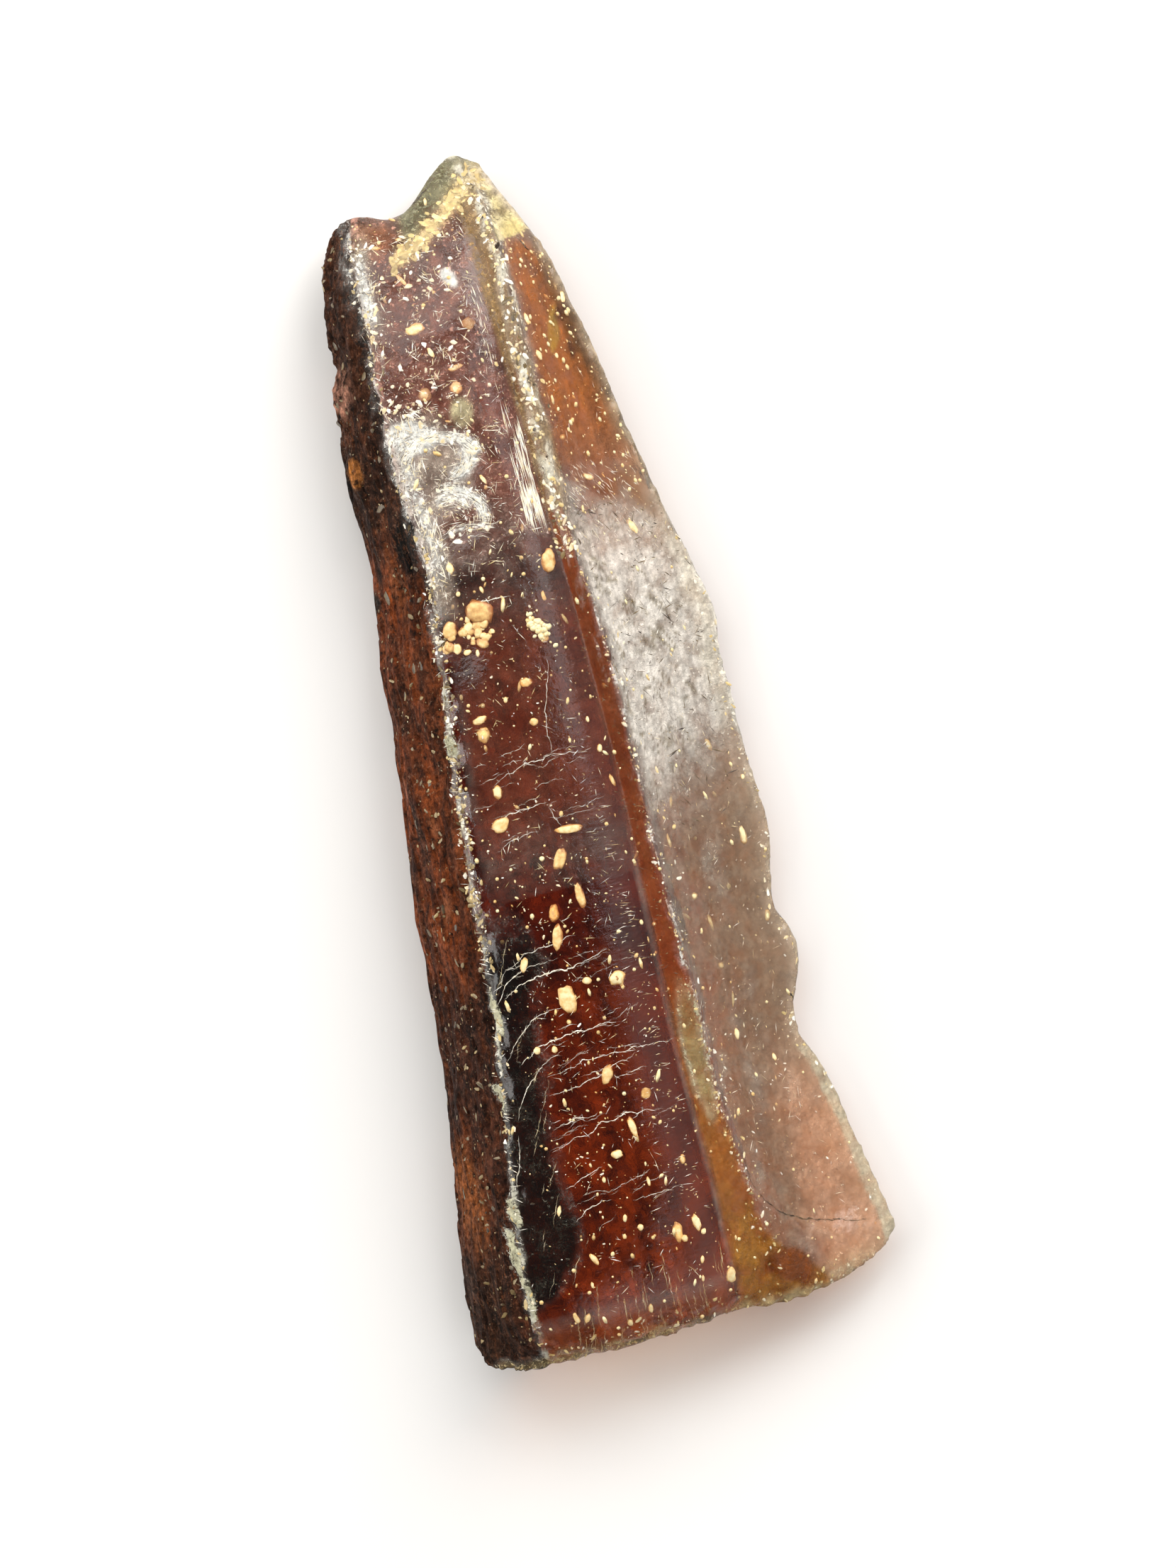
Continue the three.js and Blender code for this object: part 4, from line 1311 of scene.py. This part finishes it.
# %% Placing those flecks
FLATNESS = 0.32
FINELY_MADE = 0.6


def place_fleck(pile, x, y, across, along, tone, turn=0, depth=0.0):
    """A lumpy fleck with a rim painted darker, as painted shade. One with a depth below 0 stands
    proud.
    """
    rounds = 3 if max(across, along) > FINELY_MADE else 2
    thick = FLATNESS * min(across, along)
    sizes, sunk = (across, along, thick), 0.6 * depth + 0.15 * thick
    put(pile, BALLS[rounds], x, y, sizes, math.radians(turn), sunk, tone, lumpy=0.26, rim=0.45)


def heap_flecks(pile, many, x, y):
    """Small flecks that lie in a heap."""
    for _ in range(many):
        size = rng.uniform(0.25, 0.6)
        sizes = (size, size * rng.uniform(1, 1.5), 0.25 * size)
        spot_x, spot_y = rng.gauss(x, 0.8), rng.gauss(y, 0.6)
        turn, tone = rng.uniform(0, 3), rng.uniform(0.45, 1)
        # These rims are painted darker too: painted shade.
        put(pile, BALLS[2], spot_x, spot_y, sizes, turn, 0.0, tone, lumpy=0.3, rim=0.5)


def crumble_fleck(pile, many, x, y):
    """A fleck that fell apart in a slanting row of crumbs."""
    for _ in range(many):
        along, size = rng.gauss(0, 0.55), rng.uniform(0.08, 0.4)
        spot_x = x + 0.45 * along + rng.gauss(0, 0.22)
        spot_y = y - 0.8 * along + rng.gauss(0, 0.2)
        sizes, turn = (size, 1.3 * size, 0.4 * size), rng.uniform(0, 3)
        put(pile, BALLS[1], spot_x, spot_y, sizes, turn, 0.0, rng.uniform(0.7, 1.2))


fleck_pile = []
for fleck_row in FLECKS:
    place_fleck(fleck_pile, *fleck_row)
heap_flecks(fleck_pile, many=22, x=-3.2, y=7.9)
crumble_fleck(fleck_pile, many=70, x=1.15, y=7.1)
print("with the heap and the crumbs:", len(fleck_pile))

# %% Strewn specks
def strew_specks(pile, many):
    """Slim specks of a tenth of a millimetre, with fewer and larger ones among them."""
    for _ in range(many):
        y = rng.uniform(-37.6, 36.5)
        x = rng.uniform(float(left_ridge(y)) + 0.3, float(wing_edge(y)) - 0.3)
        size = 0.06 + 0.27 * rng.random() ** 4
        slim = 1 + 2.5 * rng.random() ** 4
        depth = 0.25 * rng.random() ** 4
        sizes, turn = (size, size * slim, 0.5 * size), rng.gauss(0, 0.5)
        put(pile, BALLS[1], x, y, sizes, turn, depth, rng.uniform(0.6, 1))


def dot_upper_wing(pile, many):
    """The upper wing has more and larger specks than the rest."""
    for _ in range(many):
        y = rng.uniform(14, 31.5)
        x, size = rng.uniform(5.0, float(wing_edge(y)) - 0.3), 0.07 + 0.28 * rng.random() ** 3
        sizes, turn = (size, 1.4 * size, 0.5 * size), rng.gauss(0, 0.6)
        put(pile, BALLS[1], x, y, sizes, turn, 0, rng.uniform(0.7, 1))


strew_specks(fleck_pile, many=1500)
dot_upper_wing(fleck_pile, many=170)
flecks = join_pile("flecks", fleck_pile, FLECK_FINISH)

# %% [markdown]
# Flakes and scratches finish the scuffs of the top with real edges that catch light. Flakes crowd
# on the ridges, the wing's rim, the tip and the broken end, and darker ones are crumbs of the
# rind. The pale ones on the upper face and beside the ridge are partly painted glints. Scratches
# are spindles: arcs in the hollow below the tip, which are a painted reflection of the rippled
# break, brushed lines beside the groove, which are partly a painted highlight, short cross ribs
# on the band, and dashes in all directions elsewhere. Pale scratches in the strips beside the
# ridge are painted sheen as well.

# %% Flakes, one and many
def flake(pile, x, y, small, large, low, high):
    """A flat flake, from a small size to a large one, of a tone from low to high."""
    size = small + (large - small) * rng.random() ** 3
    sizes = (size, size * (1 + 1.4 * rng.random()), 0.2 * size)
    turn, tone = rng.uniform(0, math.pi), rng.uniform(low, high)
    put(pile, BALLS[1], x, y, sizes, turn, 0.0, tone, lumpy=0.5)


def flakes_along(pile, many, edge, low, high, spread, shift, sizes, tones):
    """Flakes about a line, from y low to y high."""
    for _ in range(many):
        y = rng.uniform(low, high)
        flake(pile, float(edge(y)) + shift + rng.gauss(0, spread), y, *sizes, *tones)


# %% Scratches, one and many
def scratch(pile, x, y, length, width, turn, tone):
    put(pile, SPINDLE, x, y, (width, length, 0.6 * width), turn, -SCUFF_PROUD, tone)


def scratches_in(pile, many, box, length, width, lean, tones):
    """Scratches in a box of x and y, in clusters. lean is a middle angle from +Y and a spread."""
    x0, x1, y0, y1 = box
    spots = dice.uniform((x0, y0, 0), (x1, y1, 0.1), (3 * many, 3))
    crowded = grain(spots, (0.9, 1.3, 1.0), many) + 0.25 * dice.normal(size=3 * many)
    for x, y, _ in spots[np.argsort(-crowded)[:many]]:
        turn = math.radians(rng.gauss(*lean))
        long = length[0] + (length[1] - length[0]) * rng.random() ** 3
        wide = width[0] + (width[1] - width[0]) * rng.random() ** 2
        scratch(pile, x, y, long, wide, turn, rng.uniform(*tones))


def reflection_arc_strokes(pile, many, x, y, across, along, start, stop):
    """Scratches and a few flakes along an oval's rim, between two angles in degrees, as painted
    reflection.
    """
    for _ in range(many):
        t, size = math.radians(rng.uniform(start, stop)), 1 + rng.gauss(0, 0.13)
        u, v = size * across * math.cos(t), size * along * math.sin(t)
        turn = math.atan2(across * math.sin(t), along * math.cos(t)) + rng.gauss(0, 0.2)
        tone = 0.1 if rng.random() < 0.25 else rng.uniform(0.85, 1)
        if rng.random() < 0.3:
            flake(pile, x + u, y + v, 0.05, 0.35, 0.85, 1.0)
        else:
            scratch(pile, x + u, y + v, rng.uniform(0.2, 1.1), rng.uniform(0.015, 0.06), turn, tone)


# %% Where the scratches lie
# Painted reflection: pale and dark strokes along the ripples of the break in the hollow below the
# tip.
REFLECTION_ARCS = (
    # how many, middle x and y, across, along, from and to in degrees
    (230, -2.4, 18.7, 2.4, 1.9, 5, 160), (120, -2.1, 18.9, 1.6, 1.1, -85, 30),
    (170, -2.6, 15.1, 2.1, 1.95, -15, 100), (70, -2.7, 15.0, 1.4, 1.4, 25, 110),
    (60, -1.8, 11.5, 3.2, 3.0, 60, 115),
)
# Scratches: how many, box in x and y, lengths, widths, lean and its spread, tones.
# Pale scratches in the strips beside the ridge: scratches, and painted sheen as well.
SHEEN_SCRATCHES = (
    (110, (-4.9, -3.4, 10.5, 23.0), (0.3, 1.5), (0.03, 0.09), (-4, 12), (0.8, 1)),
    (60, (-4.9, -1.2, 19.8, 22.8), (0.2, 1.1), (0.03, 0.10), (60, 40), (0.85, 1)),
)
BAND_RIBS = ((90, (3.3, 4.6, -20, 12), (0.2, 0.6), (0.03, 0.05), (80, 20), (0.05, 0.35)),)
FACE_SCRATCHES = (
    # The first two rows, brushed lines beside the groove, are scratches and partly a painted
    # highlight.
    (170, (2.0, 3.1, 13.8, 20.0), (0.8, 4.0), (0.04, 0.10), (0, 1.5), (0.85, 1)),
    (40, (2.1, 2.6, 20.0, 29.0), (0.4, 2.0), (0.03, 0.07), (0, 3), (0.8, 1)),
    (130, (1.2, 2.7, -31.0, -4.0), (0.2, 0.9), (0.02, 0.05), (90, 12), (0.6, 1)),
    (1300, (-4.9, 2.6, 11.5, 34.0), (0.08, 1.0), (0.02, 0.07), (90, 70), (0.7, 1)),
    (620, (-5.0, 2.8, -36.0, 12.0), (0.12, 0.8), (0.02, 0.055), (90, 60), (0.6, 1)),
    (340, (5.2, 11.5, -7.0, 14.0), (0.15, 1.4), (0.03, 0.10), (45, 60), (0.0, 0.22)),
    (420, (5.2, 11.5, -34.0, 32.0), (0.2, 0.9), (0.02, 0.055), (0, 60), (0.7, 1)),
    (130, (5.0, 9.5, 11.5, 17.0), (0.3, 1.4), (0.03, 0.06), (35, 14), (0.8, 1)),
)
print("scratches on the faces:", sum(many for many, *_ in FACE_SCRATCHES))

# %% Where the flakes lie
# Flakes: how many, line, from and to y, spread, shift, sizes, tones.
FACE_FLAKES = (
    # Pale flakes on the upper face and beside the ridge: chips, and painted glints as well.
    (150, left_ridge, 11, 23.5, 0.4, 0.8, (0.04, 0.3), (0.75, 1.0)),
    (80, left_ridge, 19.5, 23, 0.9, 2.2, (0.04, 0.35), (0.75, 1.0)),
    (80, left_ridge, 27, 34, 0.3, 0.7, (0.04, 0.3), (0.75, 1.0)),
    (240, left_ridge, 22, 34, 2.0, 3.6, (0.03, 0.3), (0.7, 1.0)),
    (260, left_ridge, -34, 12, 2.2, 4.4, (0.03, 0.16), (0.6, 1.0)),
    (260, wing_edge, -34, 14, 2.0, -3.2, (0.03, 0.17), (0.7, 1.0)),
)
RIDGE_FLAKES = (
    (240, arris, -36, 10, 0.5, 0.6, (0.04, 0.3), (0.6, 1.0)),
    (200, left_ridge, -13, 12, 0.22, 0.35, (0.05, 0.35), (0.1, 0.5)),
    (160, left_ridge, -13, 12, 0.22, 0.35, (0.04, 0.25), (0.7, 1.0)),
    (260, left_ridge, -37, 35, 1.1, -1.9, (0.05, 0.42), (0.05, 0.22)),
    (420, left_ridge, -37, 35, 1.1, -1.9, (0.04, 0.30), (0.2, 0.42)),
)
RIM_FLAKES = (
    (420, left_ridge, -37, 35, 0.16, 0.1, (0.05, 0.32), (0.35, 1.0)),
    (700, arris, 11, 36, 0.34, -0.25, (0.05, 0.36), (0.6, 1.0)),
    (120, arris, 11, 36, 0.4, -0.25, (0.06, 0.4), (0.05, 0.3)),
    (300, arris, -34, 10, 0.12, 0.0, (0.04, 0.22), (0.4, 1.0)),
    (200, wing_edge, -26, 12, 0.2, -0.35, (0.05, 0.3), (0.5, 1.0)),
)
print("flakes:", sum(many for many, *_ in FACE_FLAKES + RIDGE_FLAKES + RIM_FLAKES))

# %% Scratches across the ridge, and crumbled ends
# Scratches: how many, from and to y, lean in degrees.
RIDGE_SCRATCHES = ((160, -36, 12, 70), (160, 12, 34, 20))


def scratch_across_ridge(pile, many, low, high, lean):
    """Short scratches over the left ridge, pale and dark, that lean by some degrees."""
    for _ in range(many):
        y = rng.uniform(low, high)
        x, turn = float(left_ridge(y)) + rng.gauss(0.2, 0.2), math.radians(rng.gauss(lean, 30))
        long, wide = rng.uniform(0.2, 0.9), rng.uniform(0.02, 0.06)
        scratch(pile, x, y, long, wide, turn, rng.choice((0.1, 0.9, 1)))


def crumble_ends(pile, at_tip, at_end):
    """Crumbs of the cream crust at the tip, and of the broken end."""
    for _ in range(at_tip):
        x = rng.uniform(-2.4, 4.6)
        flake(pile, x, float(cream_line(x)) + rng.gauss(0, 0.45), 0.06, 0.45, 0.35, 0.75)
    for _ in range(at_end):
        flake(pile, rng.uniform(-9.5, 13.5), rng.uniform(-38.3, -36.6), 0.05, 0.3, 0.45, 0.95)


# %% Bruising the shard
def bruise_shard():
    """All flakes and scratches, in a fixed order, because they share one run of random numbers."""
    pile = []

    def each(make, rows):
        for row in rows:
            make(pile, *row)

    each(reflection_arc_strokes, REFLECTION_ARCS)
    each(scratches_in, SHEEN_SCRATCHES)
    each(flakes_along, FACE_FLAKES)
    each(scratches_in, BAND_RIBS)
    each(flakes_along, RIDGE_FLAKES)
    each(scratch_across_ridge, RIDGE_SCRATCHES)
    each(flakes_along, RIM_FLAKES)
    crumble_ends(pile, at_tip=420, at_end=170)
    each(scratches_in, FACE_SCRATCHES)
    return pile


bruises = join_pile("bruises", bruise_shard(), BRUISE_FINISH)

# %% [markdown]
# Hairline cracks cross the main face, white where air got in. A crack isn't one even thread but a
# row of short splinters that overlap, waver and now and then branch, so each is a chain of the
# same spindles, thinner towards both ends. The dark lines of the scar are made in the same way.

# %% Cracks with their own place
# The width in mm, then the points of the crack from left to right.
PALE_CRACKS = (
    (0.05, (-6.0, -13.2), (-4.5, -12.4), (-3.0, -12.3), (-1.3, -12.0)),
    (0.1, (-6.5, -14.8), (-5.6, -14.3), (-4.0, -14.0), (-2.2, -13.9), (0.2, -13.5)),
    (0.05, (-7.2, -15.3), (-6.4, -14.2), (-5.2, -13.4), (-3.8, -13.2)),
    (0.04, (-7.0, -14.4), (-6.2, -13.3), (-4.8, -12.9)),
    (0.05, (-7.3, -18.6), (-6.4, -17.6), (-5.4, -16.6), (-4.6, -16.3), (-3.1, -16.2)),
    (0.05, (-7.6, -22.4), (-6.6, -20.6), (-5.4, -19.6), (-4.0, -18.9)),
    (0.04, (-8.8, -26.9), (-8.2, -25.0), (-7.8, -23.4)),
    (0.09, (-6.5, -19.0), (-5.0, -18.2), (-3.0, -18.0), (-0.2, -17.9)),
    (0.06, (-5.0, -20.3), (-2.5, -19.8), (0.0, -19.8), (3.0, -19.9)),
    (0.05, (-5.2, -21.4), (-3.0, -21.2), (-1.0, -20.6), (0.5, -20.2)),
    (0.05, (-5.5, -23.5), (-4.0, -23.3), (-2.7, -23.2)),
    (0.07, (-5.8, -24.9), (-4.0, -24.4), (-2.4, -23.9), (-0.8, -23.7), (1.5, -24.0)),
    (0.05, (-5.6, -27.4), (-4.5, -26.9), (-3.3, -26.6)),
    (0.05, (-5.7, -29.5), (-4.4, -28.9), (-3.2, -28.7)),
    (0.04, (-4.0, -1.8), (-2.2, -0.9), (-0.5, -0.8), (2.5, -1.0)),
    (0.045, (-4.3, -4.0), (-2.8, -3.6), (-1.0, -3.5)),
    (0.035, (-1.0, -4.0), (-0.8, -4.6), (-0.5, -5.2)),
    (0.04, (-4.7, -5.8), (-3.4, -5.2), (-2.0, -5.1)),
    (0.035, (0.0, -0.5), (0.1, 1.4), (0.6, 3.0), (1.2, 5.4)),
    (0.07, (-2.6, 9.6), (-1.6, 9.75), (-0.1, 9.6)),
    (0.06, (-2.9, 14.5), (-2.4, 14.7), (-1.0, 14.4), (0.5, 14.25)),
)
DARK_CRACKS = (
    (0.13, (5.3, -29.3), (6.0, -31.0), (7.0, -32.4), (8.5, -33.4), (10.0, -33.9), (12.4, -34.5)),
    (0.22, (5.9, 31.7), (6.2, 31.2), (6.4, 31.0)),
    (0.08, (6.2, 31.3), (6.0, 31.9)),
    (0.16, (10.9, -19.0), (11.2, -19.5), (11.1, -20.0)),
    (0.05, (5.7, 31.3), (5.5, 30.6), (5.6, 30.2)),
    (0.16, (-1.4, 34.9), (-0.2, 35.5), (0.8, 36.2), (1.5, 36.9)),
)
print("cracks with their own place:", len(PALE_CRACKS), "pale,", len(DARK_CRACKS), "dark")

# %% One crack
CRACK_STEP = 0.16
BRANCHING = 0.14


def crack(pile, points, width, tone):
    """A chain of splinters along a path, with a side splinter here and there."""
    path = np.array(points)
    run = np.append(0, np.cumsum(np.hypot(*np.diff(path, axis=0).T)))
    reach = np.arange(0, run[-1], CRACK_STEP)
    spots = np.stack([np.interp(reach, run, path[:, i]) for i in (0, 1)] + [0 * reach], 1)
    spots[:, 0] += 0.10 * grain(spots, (0.5, 0.5, 1), 3.4)
    spots[:, 1] += 0.16 * grain(spots, (0.7, 0.7, 1), 8.4) + 0.07 * grain(spots, (0.2, 0.2, 1), 5.4)
    ahead = np.gradient(spots, axis=0)
    for (x, y, _), (dx, dy, _), done in zip(spots, ahead, reach / run[-1]):
        turn = math.atan2(-dx, dy)
        wide = 0.8 * width * (0.25 + math.sin(math.pi * done)) * rng.uniform(0.2, 1.2)
        scratch(pile, x, y, 2.4 * CRACK_STEP, wide, turn + rng.gauss(0, 0.15), tone)
        if rng.random() < BRANCHING:
            aside = rng.choice((-1, 1)) * rng.uniform(0.5, 1.3)
            scratch(pile, x, y, rng.uniform(0.2, 0.7), 0.6 * wide, turn + aside, tone)


# %% All the cracks
PALE, DARK = 0.92, 0.05
FAINT = (0.012, 0.03)
FAINT_ROWS = (-1, -4, -14, -18, -20.5, -24, -29)
# How many faint cracks lie in each place.
BESIDE_RIDGE, ON_FACE, AT_END = 20, 70, 60


def crack_shard():
    """The named cracks, faint ones between them that rise to the right, and a fan at the end."""
    pile = []
    for rows, tone in ((PALE_CRACKS, PALE), (DARK_CRACKS, DARK)):
        for width, *points in rows:
            crack(pile, points, width, tone)
    for _ in range(BESIDE_RIDGE):
        x, y, long = rng.gauss(-7.2, 0.8), rng.uniform(-34, -12), rng.uniform(0.4, 1.6)
        crack(pile, ((x, y), (x + 0.5 * long, y + long)), rng.uniform(*FAINT), 0.75)
    for _ in range(ON_FACE):
        x, y = rng.uniform(-6.0, 1.0), rng.choice(FAINT_ROWS) + rng.gauss(0, 0.7)
        long, rise = rng.uniform(0.4, 2.4), rng.gauss(0.12, 0.15)
        crack(pile, ((x, y), (x + long, y + rise * long)), rng.uniform(*FAINT), PALE)
    for _ in range(AT_END):
        x, y, long = rng.uniform(-7.5, 3.0), rng.uniform(-37.5, -33.0), rng.uniform(0.5, 2.0)
        crack(pile, ((x, y), (x + 0.02 * long * x, y - long)), rng.uniform(0.015, 0.035), 0.7)
    return pile


cracks = join_pile("cracks", crack_shard(), BRUISE_FINISH)

# %% [markdown]
# Everything is brought from millimetres to metres and rides on the one body. Smooth shading
# suits the shard and the flecks. Flakes and cracks stay faceted, because crushed resin has sharp
# edges that glint.

# %% Hand-over
SLOTS = (
    (amber, "amber"), (scuff_and_sheen_skin, "flecks"), (flecks, "flecks"), (bruises, "flecks"),
    (cracks, "flecks"),
)
for piece, slot in SLOTS:
    piece.data.transform(Matrix.Scale(MM, 4))
    if piece not in (bruises, cracks):
        piece.data.shade_smooth()
    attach(piece, "root")
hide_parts("raw_amber")

shell = scuff_and_sheen_skin.modifiers.new("thickness", "SOLIDIFY")
shell.thickness = SCUFF_THICKNESS * MM
shell.offset = -1
print("pieces:", [piece.name for piece, _ in SLOTS])
